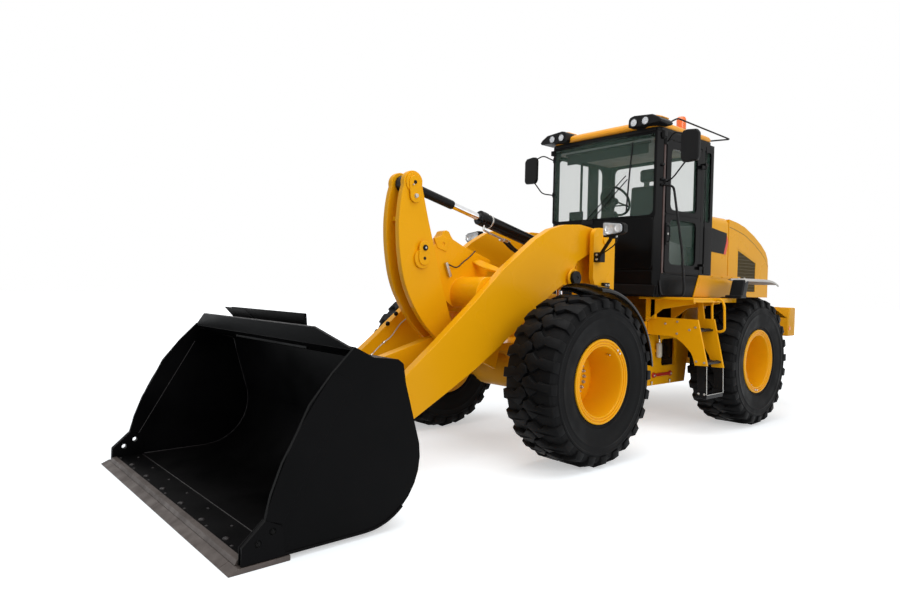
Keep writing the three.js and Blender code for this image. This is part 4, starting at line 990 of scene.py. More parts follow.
cuts = [EDGE_LOW.y, -1.178, 0.005, 1.192, EDGE_HIGH.y]
blade = [
    (EDGE_LOW.x, 0.0), (EDGE_HIGH.x - 0.002, 0.0), (EDGE_HIGH.x, 0.005), (EDGE_HIGH.x - 0.052, 0.0275),
    (EDGE_HIGH.x - 0.060, EDGE_HIGH.z), (EDGE_LOW.x, EDGE_HIGH.z),
]
lengths = []
for i, (low, high) in enumerate(zip(cuts, cuts[1:])):
    part = side_slab("edge_length", blade, low + 0.0015, high - 0.0015)
    lengths.append(soften(part, 0.0015, 1, 20))
base = [
    (4.006, FLOOR_TOP + 0.0005), (4.012, FLOOR_TOP + 0.007), (4.046, FLOOR_TOP + 0.004),
    (4.058, EDGE_HIGH.z + 0.002),
    (4.058, EDGE_HIGH.z + 0.0005), (FLOOR_END + 0.001, EDGE_HIGH.z + 0.0005),
    (FLOOR_END + 0.001, FLOOR_TOP + 0.0005),
]
top_plate = side_slab("edge_top", base, -BUCKET_HALF + 0.036, BUCKET_HALF - 0.036)
lengths.append(soften(top_plate, 0.001, 1, 20))
dress(joined("bolt_on_edge", lengths), edge_steel, "bucket", "edge_steel", "cutting_edge")


# ---------------------------------------------------------------- Hydraulic cylinders
# Drawn steel barrels with a screwed gland, plated rods and forged eyes. The tilt cylinder is
# black, with a sleeve over its rod's end, and the lift and steering cylinders are yellow.
rod_plate = metal("rod_plating", (0.80, 0.80, 0.81), (0.05, 0.10), relief=(900.0, 0.02))


def eye_ring(place, axis, radius, half, pin):
    """A forged eye: a ring around a pin, its outer corners softened."""
    profile = [
        (pin, -half), (radius - 0.006, -half), (radius, -half + 0.006), (radius, half - 0.006),
        (radius - 0.006, half), (pin, half),
    ]
    return turned("eye", profile, place, axis, 36)


def ram(name, base, eye, pin_axis, barrel, rod, bodies, paint, slot):
    """A cylinder between two pins: its barrel and its rod as two pieces on their own bodies."""
    reach = eye - base
    way = reach.normalized()
    r, length = barrel["radius"], barrel["length"]
    bottom = barrel["eye"] + 0.055
    start = bottom + barrel["retract"] + 0.004
    profile = [
        (0.0, 0.6 * barrel["eye"]), (r * 0.80, 0.8 * barrel["eye"]), (r + 0.002, barrel["eye"] + 0.020),
        (r + 0.002, barrel["eye"] + 0.045), (r - 0.002, barrel["eye"] + 0.050), (r - 0.002, length - 0.085),
        (r + 0.006, length - 0.080), (r + 0.006, length - 0.046), (r + 0.001, length - 0.042),
        (r + 0.001, length - 0.036), (r + 0.005, length - 0.032), (r + 0.005, length - 0.006),
        (r, length), (rod["radius"] + 0.010, length), (rod["radius"] + 0.004, length + 0.004),
        (rod["radius"] + 0.0009, length + 0.004), (rod["radius"] + 0.0009, bottom), (0.0, bottom),
    ]
    tube = turned("tube", profile, base, way, 48)
    ring = eye_ring(base, pin_axis, barrel["eye"], barrel["half"], barrel["pin"])
    body = joined(name + "_barrel_steel", [tube, ring])
    dress(body, paint, bodies[0], slot, name + "_barrel")
    end = reach.length - 0.7 * rod["eye"]
    profile = [
        (0.0, start), (rod["radius"], start), (rod["radius"], end - 0.060), (0.0, end - 0.060),
    ]
    bar = turned("bar", profile, base, way, 40)
    dress(bar, rod_plate, bodies[1], "rod_chrome")
    bar.name = name + "_rod_bar"
    neck = [
        (rod["radius"] + 0.0004, end - 0.070), (rod["radius"] + 0.006, end - 0.060),
        (rod["radius"] + 0.010, end),
        (rod["radius"] * 0.6, end + 0.3 * rod["eye"]), (0.0, end + 0.3 * rod["eye"]), (0.0, end - 0.070),
    ]
    parts = [
        turned("neck", neck, base, way, 40), eye_ring(eye, pin_axis, rod["eye"], rod["half"], rod["pin"]),
    ]
    dress(joined(name + "_rod_eye", parts), paint, bodies[1], slot, name + "_rod")
    return way, reach.length


T = pivots["tilt_cylinder_turn"]
way, span = ram(
    "tilt_cylinder", T, F, (0, 1, 0), {"radius": 0.066, "length": 1.250, "retract": 0.262, "eye": 0.078,
                                       "half": 0.067, "pin": 0.036},
    {"radius": 0.034, "eye": 0.075, "half": 0.050, "pin": 0.036}, ("tilt_barrel", "tilt_rod"), black,
    "black_paint",
)
over = Vector((-way.z, 0, way.x))
sleeve = [
    (0.0355, span - 0.560), (0.040, span - 0.558), (0.042, span - 0.550), (0.042, span - 0.120),
    (0.040, span - 0.112), (0.0355, span - 0.110),
]
dress(turned("tilt_rod_sleeve", sleeve, T, way), black_plastic, "tilt_rod", "black_plastic")
clamp = [(0.0675, 1.105), (0.0705, 1.107), (0.0705, 1.119), (0.0675, 1.121)]
dress(turned("tilt_clamp_ring", clamp, T, way), plated, "tilt_barrel", "rod_chrome")
lug = block("lug", (-0.022, -0.010, 0.066), (0.022, 0.010, 0.094), 0.004)
lug.data.transform(aimed(T + 1.215 * way, -way))
dress(lug, black, "tilt_barrel", "black_paint")
lug.name = "tilt_gland_lug"

# a steel pipe under the barrel with two hoses that run back along it to the tower
under = -over
side_step = Vector((0, 1, 0))
start = T + 1.19 * way + 0.062 * under + 0.030 * side_step
pipe("tilt_port_pipe", [
    start, start + 0.045 * under, start + 0.050 * under - 0.10 * way,
    T + 0.86 * way + 0.115 * under + 0.030 * side_step,
], 0.010, plated, "tilt_barrel", "rod_chrome", 0.03)
for i, (shift, drop) in enumerate(((0.030, 0.115), (-0.030, 0.105))):
    a = T + 0.87 * way + drop * under + shift * side_step
    nut = disc("nut", 0.017, -0.022, 0.022, 6, 0.002)
    nut.data.transform(aimed(a, way))
    fitting = turned("fitting", [(0.0, 0.015), (0.014, 0.018), (0.014, 0.060), (0.0, 0.060)], a, -way, 20)
    dress(joined(f"tilt_hose_fitting_{i}", [nut, fitting]), plated, "tilt_barrel", "rod_chrome")
    route = [a - 0.03 * way, a - 0.16 * way + 0.05 * under, a - 0.34 * way + 0.06 * under, a - 0.56 * way]
    pipe(f"tilt_hose_{i}", route, 0.0135, hose_rubber, "tilt_barrel", "black_plastic", 0.10)

for side, word in SIDES:
    H = pivots[word + "_lift_cylinder_turn"]
    ram(word + "_lift_cylinder", H, Vector((G.x, H.y, G.z)), (0, 1, 0),
        {"radius": 0.056, "length": 0.930, "retract": 0.024, "eye": 0.070, "half": 0.045, "pin": 0.041},
        {"radius": 0.032, "eye": 0.068, "half": 0.042, "pin": 0.041},
        (word + "_lift_barrel", word + "_lift_rod"), yellow, "yellow_paint")
    port = H + Vector((0.075, side * 0.02, 0.80))
    pipe(word + "_lift_pipe", [H + Vector((0.050, 0, 0.84)), port, H + Vector((0.085, side * 0.02, 0.20)),
         H + Vector((0.052, 0, 0.12))], 0.010, yellow, word + "_lift_barrel", "yellow_paint", 0.05)
    base = pivots[word + "_steering_cylinder_turn"]
    ram(word + "_steering_cylinder", base, base + Vector((0.990, side * 0.030, 0)), (0, 0, 1),
        {"radius": 0.042, "length": 0.640, "retract": 0.206, "eye": 0.048, "half": 0.026, "pin": 0.023},
        {"radius": 0.022, "eye": 0.042, "half": 0.024, "pin": 0.023},
        (word + "_steering_barrel", word + "_steering_rod"), yellow, "yellow_paint")



# ---------------------------------------------------------------- Front fenders
# Moulded plastic mudguards, glossy black, crowned across and rolled down at both edges. Each is
# bolted to a bracket on the tower and held by a strut.
def sheet(name, rows, thick):
    """A curved sheet through rows of points, with a thickness behind it."""
    deselect()
    wide, deep = len(rows[0]) - 1, len(rows) - 1
    bpy.ops.mesh.primitive_grid_add(x_subdivisions=wide, y_subdivisions=deep, size=2)
    obj = bpy.context.object
    obj.name = name
    for vertex in obj.data.vertices:
        column = round((vertex.co.x + 1) / 2 * wide)
        row = round((vertex.co.y + 1) / 2 * deep)
        vertex.co = rows[row][column]
    if thick:
        wall = obj.modifiers.new("wall", "SOLIDIFY")
        wall.thickness = thick
        wall.offset = -1
        bpy.ops.object.modifier_apply(modifier="wall")
    return outward(obj)


fender_black = surface_of(
    "fender_black", ((0.0045, 0.0045, 0.0050), (0.0062, 0.0062, 0.0068)), (0.13, 0.22), scale=3.0,
    relief=(700.0, 0.05), dusting=0.02, clean=1.8, Specular_IOR_Level=0.25,
)
FENDER_PROFILE = (
    (0.767, 0.7805), (0.785, 0.7805), (0.797, 0.786), (0.812, 0.812), (0.827, 0.850), (0.836, 0.895),
    (0.8395, 0.945), (0.8395, 0.990), (0.838, 1.040), (0.833, 1.090), (0.824, 1.140), (0.813, 1.180),
    (0.801, 1.222), (0.793, 1.234), (0.785, 1.2395), (0.767, 1.2395),
)
for side, word in SIDES:
    hub = pivots["front_" + word + "_wheel_spin"]
    rows = []
    for i in range(37):
        angle = math.radians(88 + 86 * i / 36)
        rows.append([(hub.x + r * math.cos(angle), side * y,
                      hub.z + r * math.sin(angle)) for r, y in FENDER_PROFILE])
    shell = sheet("shell", rows, 0.006)
    smooth(shell, 50)
    foot = block("foot", (-0.104, side * 0.581, 1.516), (-0.016, side * 0.625, 1.599), 0.006)
    seat_x, seat_z = hub.x + 0.800 * math.cos(math.radians(141)), hub.z + 0.800 * math.sin(math.radians(141))
    strut = pipe("strut", [(-0.060, side * 0.605, 1.545), (seat_x, side * 0.792, seat_z)], 0.021)
    pad = block("pad", (seat_x - 0.050, side * 0.778, seat_z - 0.030),
                (seat_x + 0.030, side * 0.800, seat_z + 0.045), 0.005)
    dress(joined(word + "_front_mudguard", [shell, foot, strut, pad]), fender_black, "front_frame",
          "black_plastic", word + "_front_fender")
    spots = [((-0.080, side * 0.625, 1.575), (0, side, 0)), ((-0.038, side * 0.625, 1.575), (0, side, 0))]
    bolts(word + "_fender_bolts", 0.016, spots, "front_frame")


# ---------------------------------------------------------------- Headlights
# A clear faceted lens, taller at its inner end, on a black housing with two chromed bowls. It
# stands on a slanted black arm, bolted to the tower, with its cable looped behind.
def across(x, outline, side=1):
    """An outline of (y, z) points as points at x, mirrored to a side."""
    return [(x, side * y, z) for y, z in outline]


lens_clear = surface_of(
    "lamp_lens", ((0.86, 0.88, 0.90), (0.80, 0.82, 0.85)), (0.05, 0.12), scale=20.0, relief=(160.0, 0.6),
    Alpha=0.38, Specular_IOR_Level=0.6,
)
bowl_metal = metal("lamp_reflector", (0.86, 0.87, 0.88), (0.05, 0.12))
for side, word in SIDES:
    face = [(0.851, 2.022), (0.851, 2.168), (0.880, 2.1695), (1.050, 2.150), (1.077, 2.130), (1.077, 2.066),
            (1.050, 2.046)]
    shell = slab("shell", across(0.278, face, side), (0.050, 0, 0))
    soften(shell, 0.008, 3, 30)
    rim = slab("rim", across(0.328, face, side), (0.016, 0, 0))
    inner = [(0.863, 2.036), (0.863, 2.155), (0.882, 2.157), (1.046, 2.139), (1.065, 2.124), (1.065, 2.072),
             (1.046, 2.058)]
    pierced(rim, [slab("hollow", across(0.320, inner, side), (0.040, 0, 0))])
    soften(rim, 0.002, 1, 40)
    arm = pipe("arm", [(0.300, side * 0.930, 2.040), (0.110, side * 0.645, 1.862)], 0.017)
    foot = block("foot", (0.036, side * 0.581, 1.801), (0.119, side * 0.659, 1.899), 0.005)
    yoke = block("yoke", (0.285, side * 0.900, 2.008), (0.325, side * 0.965, 2.040), 0.004)
    cable = pipe("cable", [
        (0.284, side * 0.960, 2.090), (0.235, side * 0.955, 2.070), (0.215, side * 0.900, 1.960),
        (0.170, side * 0.760, 1.900),
        (0.110, side * 0.655, 1.870),
    ], 0.006, bend=0.05, sides=1)
    housing = joined(word + "_headlight_housing", [shell, rim, arm, foot, yoke, cable])
    dress(housing, black_plastic, "front_frame", "black_plastic", word + "_headlight")
    bowls = []
    for y, z, radius in ((0.925, 2.096, 0.050), (1.016, 2.097, 0.034)):
        profile = [(radius, 0.026), (0.8 * radius, 0.012), (0.4 * radius, 0.004), (0.0, 0.003), (0.0, 0.001),
                   (radius, 0.001)]
        bowls.append(turned("bowl", profile, (0.328, side * y, z), (1, 0, 0), 32, 40))
        bowls.append(turned("bulb", [(0, 0.003), (0.009, 0.004), (0.009, 0.018), (0, 0.022)],
                            (0.328, side * y, z), (1, 0, 0), 12, 40))
    dress(joined(word + "_headlight_bowls", bowls), bowl_metal, "front_frame", "rod_chrome")
    pane = slab("pane", across(0.344, inner, side), (0.028, 0, 0))
    soften(pane, 0.010, 2, 30)
    dress(pane, lens_clear, "front_frame", "lamp_lens")
    pane.name = word + "_headlight_lens"
    spots = [((0.300, side * 0.965, 2.028), (0, side, 0)), ((0.119, side * 0.620, 1.872), (1, 0, 0)),
             ((0.119, side * 0.620, 1.828), (1, 0, 0))]
    bolts(word + "_headlight_bolts", 0.018, spots, "front_frame")


# ---------------------------------------------------------------- Platforms and ladders
# A tread-plate deck on gussets along each side of the rear frame, with a ladder of two bolted
# plates, two punched treads and a step that hangs on rubber straps. A round handle stands beside it.
DECK_LOW, DECK_HIGH = 1.437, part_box("left_platform_and_ladder")[1].z
for side, word in SIDES:
    low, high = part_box(word + "_platform_and_ladder")
    deck = block("deck", (low.x, side * 0.442, DECK_LOW), (high.x, side * 1.100, DECK_HIGH - 0.003), 0.004)
    kick = block("kick", (low.x, side * 1.092, DECK_LOW - 0.022), (high.x, side * 1.100, DECK_LOW + 0.010),
                 0.003)
    parts = [deck, kick]
    for x in (-0.995, -1.525):
        gusset = [(0.502, 1.180), (0.502, 1.445), (1.080, 1.445), (1.080, 1.400), (0.700, 1.330)]
        parts.append(soften(slab("gusset", across(x, gusset, side), (0.030, 0, 0)), 0.004, 2, 30))
    parts.append(block("post", (-1.005, side * 0.560, 1.220), (-0.965, side * 0.620, 1.445), 0.004))
    front = [(0.505, 1.240), (1.099, 1.233), (1.218, 0.753), (1.077, 0.746), (1.055, 0.825), (1.032, 0.872),
             (0.994, 0.914), (0.930, 0.972), (0.857, 1.020), (0.790, 1.037), (0.505, 1.040)]
    parts.append(soften(slab("front", across(-1.035, front, side), (0.025, 0, 0)), 0.004, 2, 25))
    rear = [(0.905, 1.437), (0.955, 1.437), (0.985, 1.233), (1.099, 1.233), (1.218, 0.712), (1.082, 0.709),
            (1.050, 0.830),
            (0.985, 0.930), (0.905, 0.985)]
    parts.append(soften(slab("rear", across(-1.390, rear, side), (0.025, 0, 0)), 0.004, 2, 25))
    treads = []
    for y0, y1, z in ((0.935, 1.090, 1.115), (1.035, 1.190, 0.775)):
        tread = block("tread", (-1.372, side * y0, z - 0.014), (-1.030, side * y1, z + 0.010), 0.004)
        grips = [Matrix.Translation((-1.350 + 0.050 * i, side * (y0 + 0.040 + 0.075 * j), z + 0.009))
                 for i in range(7) for j in (0, 1)]
        grip = turned("grip", [(0.009, 0.0), (0.012, 0.006), (0.016, 0.006), (0.019, 0.0)], (0, 0, 0),
                      (0, 0, 1), 12)
        treads += [tread, copies("grips", grip, grips)]
    lozenge = disc("lozenge", 0.016, 0, 0.0028, 4, 0)
    lozenge.data.transform(Matrix.Diagonal((1.0, 0.36, 1.0, 1.0)))
    spots = [Matrix.Translation((low.x + 0.030 + 0.038 * i, side * (0.470 + 0.042 * j), DECK_HIGH - 0.0035))
             @ Matrix.Rotation(math.radians(45 if (i + j) % 2 else -45), 4, "Z")
             for i in range(24) for j in range(15)]
    parts.append(copies("lozenges", lozenge, spots))
    dress(joined(word + "_ladder_treads", treads), black, "chassis", "black_paint")
    dress(joined(word + "_platform_deck", parts), yellow, "chassis", "yellow_paint",
          word + "_platform_and_ladder")
    grab = [(1.144, 1.100), (1.075, 1.105), (1.062, 1.393), (1.100, 1.450), (1.170, 1.450), (1.202, 1.384),
            (1.212, 1.115), (1.150, 1.098)]
    pipe(word + "_step_handle", across(-1.378, grab, side), 0.0135, yellow, "chassis", "yellow_paint", 0.05,
         4)
    straps = []
    for x in (-1.042, -1.400):
        strap = [(1.088, 0.760), (1.204, 0.760), (1.210, 0.428), (1.106, 0.438)]
        straps.append(soften(slab("strap", across(x, strap, side), (0.007, 0, 0)), 0.002, 1, 30))
    dress(joined(word + "_step_straps", straps), black_plastic, "chassis", "black_plastic")
    step = [block("step", (-1.390, side * 1.085, 0.402), (-1.030, side * 1.206, 0.424), 0.004),
            block("edge", (-1.390, side * 1.198, 0.402), (-1.030, side * 1.208, 0.446), 0.003)]
    for x in (-1.388, -1.040):
        step.append(block("cheek", (x, side * 1.090, 0.405), (x + 0.008, side * 1.206, 0.480), 0.002))
    dress(joined(word + "_bottom_step", step), black, "chassis", "black_paint")
    edges = []
    for x in (-1.034, -1.392):
        edges.append(pipe("edge", [(x, side * 1.200, 0.745), (x, side * 1.208, 0.450)], 0.0035, bend=0.01,
                          sides=2))
    edges.append(pipe("edge", [(-1.392, side * 1.2105, 0.446), (-1.034, side * 1.2105, 0.446)], 0.0035,
                      bend=0.01, sides=2))
    dress(joined(word + "_strap_edges", edges), plated, "chassis", "rod_chrome")
    heads = [(0.724, 1.172), (0.866, 1.200), (0.865, 1.070), (1.008, 1.120), (1.075, 1.150), (1.095, 0.790),
             (1.185, 0.785)]
    spots = [((-1.010, side * y, z), (1, 0, 0)) for y, z in heads]
    spots += [((-1.033, side * y, 0.452), (1, 0, 0)) for y in (1.120, 1.185)]
    spots += [((-1.390, side * y, z), (-1, 0, 0)) for y, z in ((0.950, 1.200), (1.060, 1.200),
        (1.180, 0.780), (1.120, 0.780))]
    bolts(word + "_ladder_bolts", 0.019, spots, "chassis")


# ---------------------------------------------------------------- Rear fenders
# A slanted black post of moulded plastic behind the cab carries a grey flap over each rear tyre,
# with its rear end turned down.
grey_plastic = surface_of(
    "grey_plastic", ((0.46, 0.44, 0.42), (0.52, 0.50, 0.47)), (0.42, 0.58), scale=4.0,
    relief=(800.0, 0.15), dusting=0.10, Specular_IOR_Level=0.3,
)
for side, word in SIDES:
    post = [(-1.750, 1.467), (-1.640, 1.467), (-1.712, 1.655), (-1.738, 1.680), (-1.830, 1.680)]
    body = soften(side_slab("post", post, side * 1.112, side * 1.262), 0.026, 5, 25)
    foot = soften(side_slab("foot", [(-1.760, 1.467), (-1.625, 1.467), (-1.635, 1.500), (-1.770, 1.500)],
                            side * 1.080, side * 1.263), 0.008, 3, 25)
    dress(joined(word + "_rear_fender_post", [body, foot]), black_plastic, "chassis", "black_plastic")
    rows = []
    for x, z in ((-1.728, 1.668), (-1.740, 1.682), (-1.765, 1.6885), (-1.930, 1.6890), (-2.150, 1.6890),
                 (-2.358, 1.6885), (-2.450, 1.680), (-2.530, 1.662), (-2.594, 1.640)):
        inner = 1.112 - 0.337 * min(1.0, max(0.0, (-1.700 - x) / 0.600))
        line = [(x, side * (inner + (1.240 - inner) * i / 6), z) for i in range(7)]
        line += [(x, side * 1.255, z - 0.004), (x, side * 1.263, z - 0.012), (x, side * 1.264, z - 0.030)]
        rows.append(line if side > 0 else line[::-1])
    top = sheet("flap", rows, 0.010)
    smooth(top, 50)
    dress(top, grey_plastic, "chassis", "grey_plastic", word + "_rear_fender")
    top.name = word + "_rear_fender_flap"
    spots = [((-1.800, side * y, 1.6890), (0, 0, 1)) for y in (1.150, 1.215)]
    bolts(word + "_flap_bolts", 0.016, spots, "chassis")


# ---------------------------------------------------------------- Hitch fittings
# What is fastened to the rear frame beside the hitch: a red bar that locks the steering for
# transport, a small accumulator with its fitting, and the bolted side plates of the engine bay.
lock_red = surface_of(
    "lock_red", ((0.480, 0.018, 0.012), (0.420, 0.014, 0.010)), (0.30, 0.42), scale=6.0,
    relief=(420.0, 0.05),
)
backs = []
for side in (1, -1):
    backs.append(block("back", (-1.660, side * 0.425, 0.645), (-1.300, side * 0.445, 0.990), 0.004))
dress(joined("hitch_opening_backs", backs), black, "chassis", "black_paint")
bar = []
for x in (-1.150, -1.500):
    eye = disc("eye", 0.030, 0, 0.020, 28, 0.003)
    eye.data.transform(aimed((x, 0.503, 0.568), (0, 1, 0)))
    bar.append(eye)
bar.append(block("bar", (-1.500, 0.504, 0.550), (-1.150, 0.521, 0.586), 0.004))
dress(joined("steering_lock_bar", bar), lock_red, "chassis", "black_paint")
spots = [((x, 0.523, 0.568), (0, 1, 0)) for x in (-1.150, -1.500)]
bolts("lock_bar_pins", 0.020, spots, "chassis")
spots = [((x, 0.515, 0.500), (0, 0, -1)) for x in (-1.111, -1.491)]
bolts("lock_bar_bolts", 0.022, spots, "chassis", stud=0.03)
tank = turned("tank", [
    (0.0, 0.0), (0.020, 0.002), (0.030, 0.014), (0.032, 0.030), (0.032, 0.150), (0.028, 0.166),
    (0.012, 0.176), (0.0, 0.176),
], (-1.200, 0.545, 0.768), (0.05, 0, 1), 32)
dress(tank, cream, "chassis", "grey_plastic")
tank.name = "hitch_accumulator"
bracket = block("bracket", (-1.225, 0.498, 0.830), (-1.175, 0.520, 0.860), 0.003)
dress(bracket, yellow, "chassis", "yellow_paint")
bracket.name = "accumulator_bracket"
cap = turned("cap", [(0.0, 0.0), (0.014, 0.0), (0.014, 0.018), (0.009, 0.022), (0.009, 0.040), (0.0, 0.040)],
             (-1.191, 0.545, 0.944), (0.05, 0, 1), 6, 20)
dress(cap, plated, "chassis", "rod_chrome")
cap.name = "accumulator_fitting"
pipe("accumulator_hose", [
    (-1.189, 0.545, 0.980), (-1.185, 0.545, 1.030), (-1.130, 0.540, 1.050), (-1.040, 0.500, 1.040),
    (-0.960, 0.440, 1.000),
], 0.009, hose_rubber, "chassis", "black_plastic", 0.04)
for side, word in SIDES:
    panel = [(-2.778, 1.467), (-1.800, 1.467), (-1.745, 1.700), (-1.755, 1.730), (-2.778, 1.730)]
    plate = soften(side_slab("panel", panel, side * 0.7035, side * 0.7100), 0.003, 1, 30)
    hem = soften(side_slab("hem", [(-2.778, 1.700), (-1.750, 1.700), (-1.755, 1.732), (-2.778, 1.732)],
                           side * 0.7095, side * 0.7140), 0.002, 1, 30)
    dress(joined(word + "_engine_bay_plate", [plate, hem]), yellow, "chassis", "yellow_paint")
    spots = [((x, side * 0.7140, 1.716), (0, side, 0)) for x in (-1.800, -2.040, -2.290, -2.540, -2.740)]
    bolts(word + "_bay_bolts", 0.014, spots, "chassis", finish=yellow, slot="yellow_paint")


# ---------------------------------------------------------------- Cab shell
# A rollover frame of black tube and pressed panels, with rounded openings for the glass. A lower
# front panel, a seal strip, yellow plates at the foot and small brackets are fastened on, and a grab
# rail stands at the corner.
def ring_plate(name, outer, inner, at, step):
    """A flat frame between two outlines: at places an outline's points, step is its thickness."""
    plate = slab(name, [at(u, v) for u, v in outer], step)
    back = [Vector(at(u, v)) - Vector(step) for u, v in inner]
    pierced(plate, [slab("hollow", back, 3 * Vector(step))])
    return soften(plate, 0.003, 2, 40)


CAB_LOW, CAB_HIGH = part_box("cab_shell")
SIDE = 0.750
cab_black = surface_of(
    "cab_black", ((0.0028, 0.0028, 0.0031), (0.0044, 0.0044, 0.0047)), (0.16, 0.26), scale=2.0,
    relief=(520.0, 0.04), dusting=0.01, clean=2.2, Specular_IOR_Level=0.07,
)
glass = surface_of(
    "cab_glass", ((0.12, 0.22, 0.165), (0.14, 0.24, 0.185)), (0.02, 0.05), scale=1.2, relief=(2.0, 0.02),
    Alpha=0.12, Specular_IOR_Level=0.5,
)
WIDE_OPENING = rounded(-0.708, 0.690, 2.345, 3.225, 0.030)
cutters = [slab("opening", across(CAB_HIGH.x - 0.140, WIDE_OPENING), (0.160, 0, 0))]
shell = carried("cab_frame_black", "cab_shell", 0.012, 40, holes=cutters)
dress(shell, cab_black, "chassis", "black_paint", "cab_shell")
FRONT = CAB_HIGH.x
panels = []
lower = [(-0.655, 1.760), (0.655, 1.760), (0.690, 1.800), (0.690, 2.300), (0.655, 2.330), (-0.655, 2.330),
         (-0.690, 2.300), (-0.690, 1.800)]
bulge = slab("bulge", across(FRONT - 0.040, lower), (0.048, 0, 0))
panels.append(soften(bulge, 0.016, 4, 30))
skirt = slab("skirt", [(FRONT - 0.020, y, z) for y, z in rounded(-0.690, 0.690, 1.600, 1.748, 0.020)],
             (0.026, 0, 0))
panels.append(soften(skirt, 0.008, 3, 30))
at_front = lambda y, z: (FRONT - 0.004, y, z)
panels.append(ring_plate("windshield_frame", rounded(-0.722, 0.705, 2.325, 3.285, 0.030),
                         rounded(-0.700, 0.676, 2.352, 3.262, 0.060), at_front, (0.010, 0, 0)))
at_rear = lambda y, z: (CAB_LOW.x + 0.004, y, z)
panels.append(ring_plate("rear_frame", rounded(-0.715, 0.715, 2.430, 3.225, 0.030),
                         rounded(-0.630, 0.630, 2.512, 3.140, 0.070), at_rear, (-0.010, 0, 0)))
at_right = lambda x, z: (x, -SIDE + 0.004, z)
panels.append(ring_plate("right_frame", rounded(-1.905, -0.830, 1.850, 3.225, 0.030),
                         rounded(-1.815, -0.910, 1.930, 3.140, 0.080), at_right, (0, -0.010, 0)))
for near, far in ((-1.365, -1.350), (-1.702, -1.513)):
    panels.append(block("right_post", (near, -SIDE - 0.008, 1.900), (far, -SIDE + 0.024, 3.160), 0.003))
at_left = lambda x, z: (x, SIDE - 0.004, z)
panels.append(ring_plate("quarter_frame", rounded(-1.925, -1.745, 2.285, 3.225, 0.020),
                         rounded(-1.868, -1.762, 2.345, 3.155, 0.030), at_left, (0, 0.008, 0)))
panels.append(block("quarter_panel", (-1.915, SIDE - 0.004, 1.740), (-1.740, SIDE + 0.010, 2.290), 0.008))
dress(joined("cab_outer_panels", panels), cab_black, "chassis", "black_paint")
for side, word in SIDES:
    riser = [(-1.648, 1.722), (-1.915, 1.722), (-1.921, 1.470), (-1.530, 1.470)]
    plate = soften(side_slab("riser", riser, side * (SIDE - 0.003), side * (SIDE + 0.012)), 0.003, 2, 30)
    dress(plate, yellow, "chassis", "yellow_paint")
    plate.name = word + "_cab_riser_plate"

frit = []
for side in (1, -1):
    frit.append(block("base", (FRONT - 0.030, side * 0.700, 1.490), (FRONT - 0.010, side * 0.745, 1.590),
                      0.004))
apron = slab("apron", [(FRONT - 0.012, y, z) for y, z in (
    (0.183, 1.600), (0.205, 1.500), (0.640, 1.474), (0.715, 1.474), (0.735, 1.590))], (0.018, 0, 0))
dress(soften(apron, 0.006, 2, 30), black_plastic, "chassis", "black_plastic")
apron.name = "cab_front_apron"
dress(joined("cab_front_feet", frit), black_plastic, "chassis", "black_plastic")
strip_brown = surface_of(
    "seal_brown", ((0.060, 0.022, 0.016), (0.042, 0.016, 0.012)), (0.35, 0.5), scale=12.0,
    relief=(500.0, 0.1),
)
strip = block("strip", (FRONT - 0.094, 0.7515, 1.720), (FRONT - 0.062, 0.7605, 3.140), 0.004)
dress(strip, strip_brown, "chassis", "black_plastic")
strip.name = "pillar_seal_strip"
clips = []
for z in (2.673, 2.729, 2.885, 3.180):
    clips.append(block("clip", (FRONT - 0.060, 0.748, z - 0.014), (FRONT - 0.020, 0.772, z + 0.014), 0.004))
dress(joined("pillar_clips", clips), black_plastic, "chassis", "black_plastic")

# the grab rail from the pillar round to the foot of the cab
rail = [
    (0.746, 2.672), (0.886, 2.640), (0.999, 1.981), (1.038, 1.560), (1.030, 1.484), (0.770, 1.478),
    (0.746, 1.640),
]
rail = across(FRONT - 0.045, rail)
pipe("left_grab_rail", rail, 0.0125, black, "chassis", "black_paint", 0.05, 4)

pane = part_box("windshield")
rows = []
for j in range(9):
    z = 2.330 + (3.275 - 2.330) * j / 8
    rows.append([(pane[1].x + 0.014 + 0.010 * (1 - (y / 0.72) ** 2), y,
                  z) for y in [-0.715 + 1.410 * i / 20 for i in range(21)]])
front_glass = sheet("windshield_glass", rows, 0.005)
smooth(front_glass, 40)
dress(front_glass, glass, "chassis", "cab_glass", "windshield")
for name in ("rear_window", "right_window", "left_rear_window", "door_glass_upper", "door_glass_lower"):
    node = frame["nodes"][name]
    node.data.materials.clear()
    node.data.materials.append(glass)

# the wiper's two arms and its blade, parked across the glass
wiper = []
X0 = FRONT + 0.014
for a, b in (((-0.225, 2.317), (0.330, 2.805)), ((-0.129, 2.327), (0.352, 2.762))):
    wiper.append(pipe("arm", [(X0, a[0], a[1]), (X0 - 0.004, b[0], b[1])], 0.006, bend=0.02, sides=2))
wiper.append(pipe("blade", [(X0 - 0.010, 0.404, 3.165), (X0 - 0.006, 0.372, 2.780),
                            (X0 - 0.010, 0.343, 2.400)], 0.009, bend=0.2, sides=1))
wiper.append(block("motor", (FRONT - 0.002, -0.260, 2.290), (FRONT + 0.020, -0.100, 2.335), 0.006))
dress(joined("windshield_wiper", wiper), black_plastic, "chassis", "black_plastic")


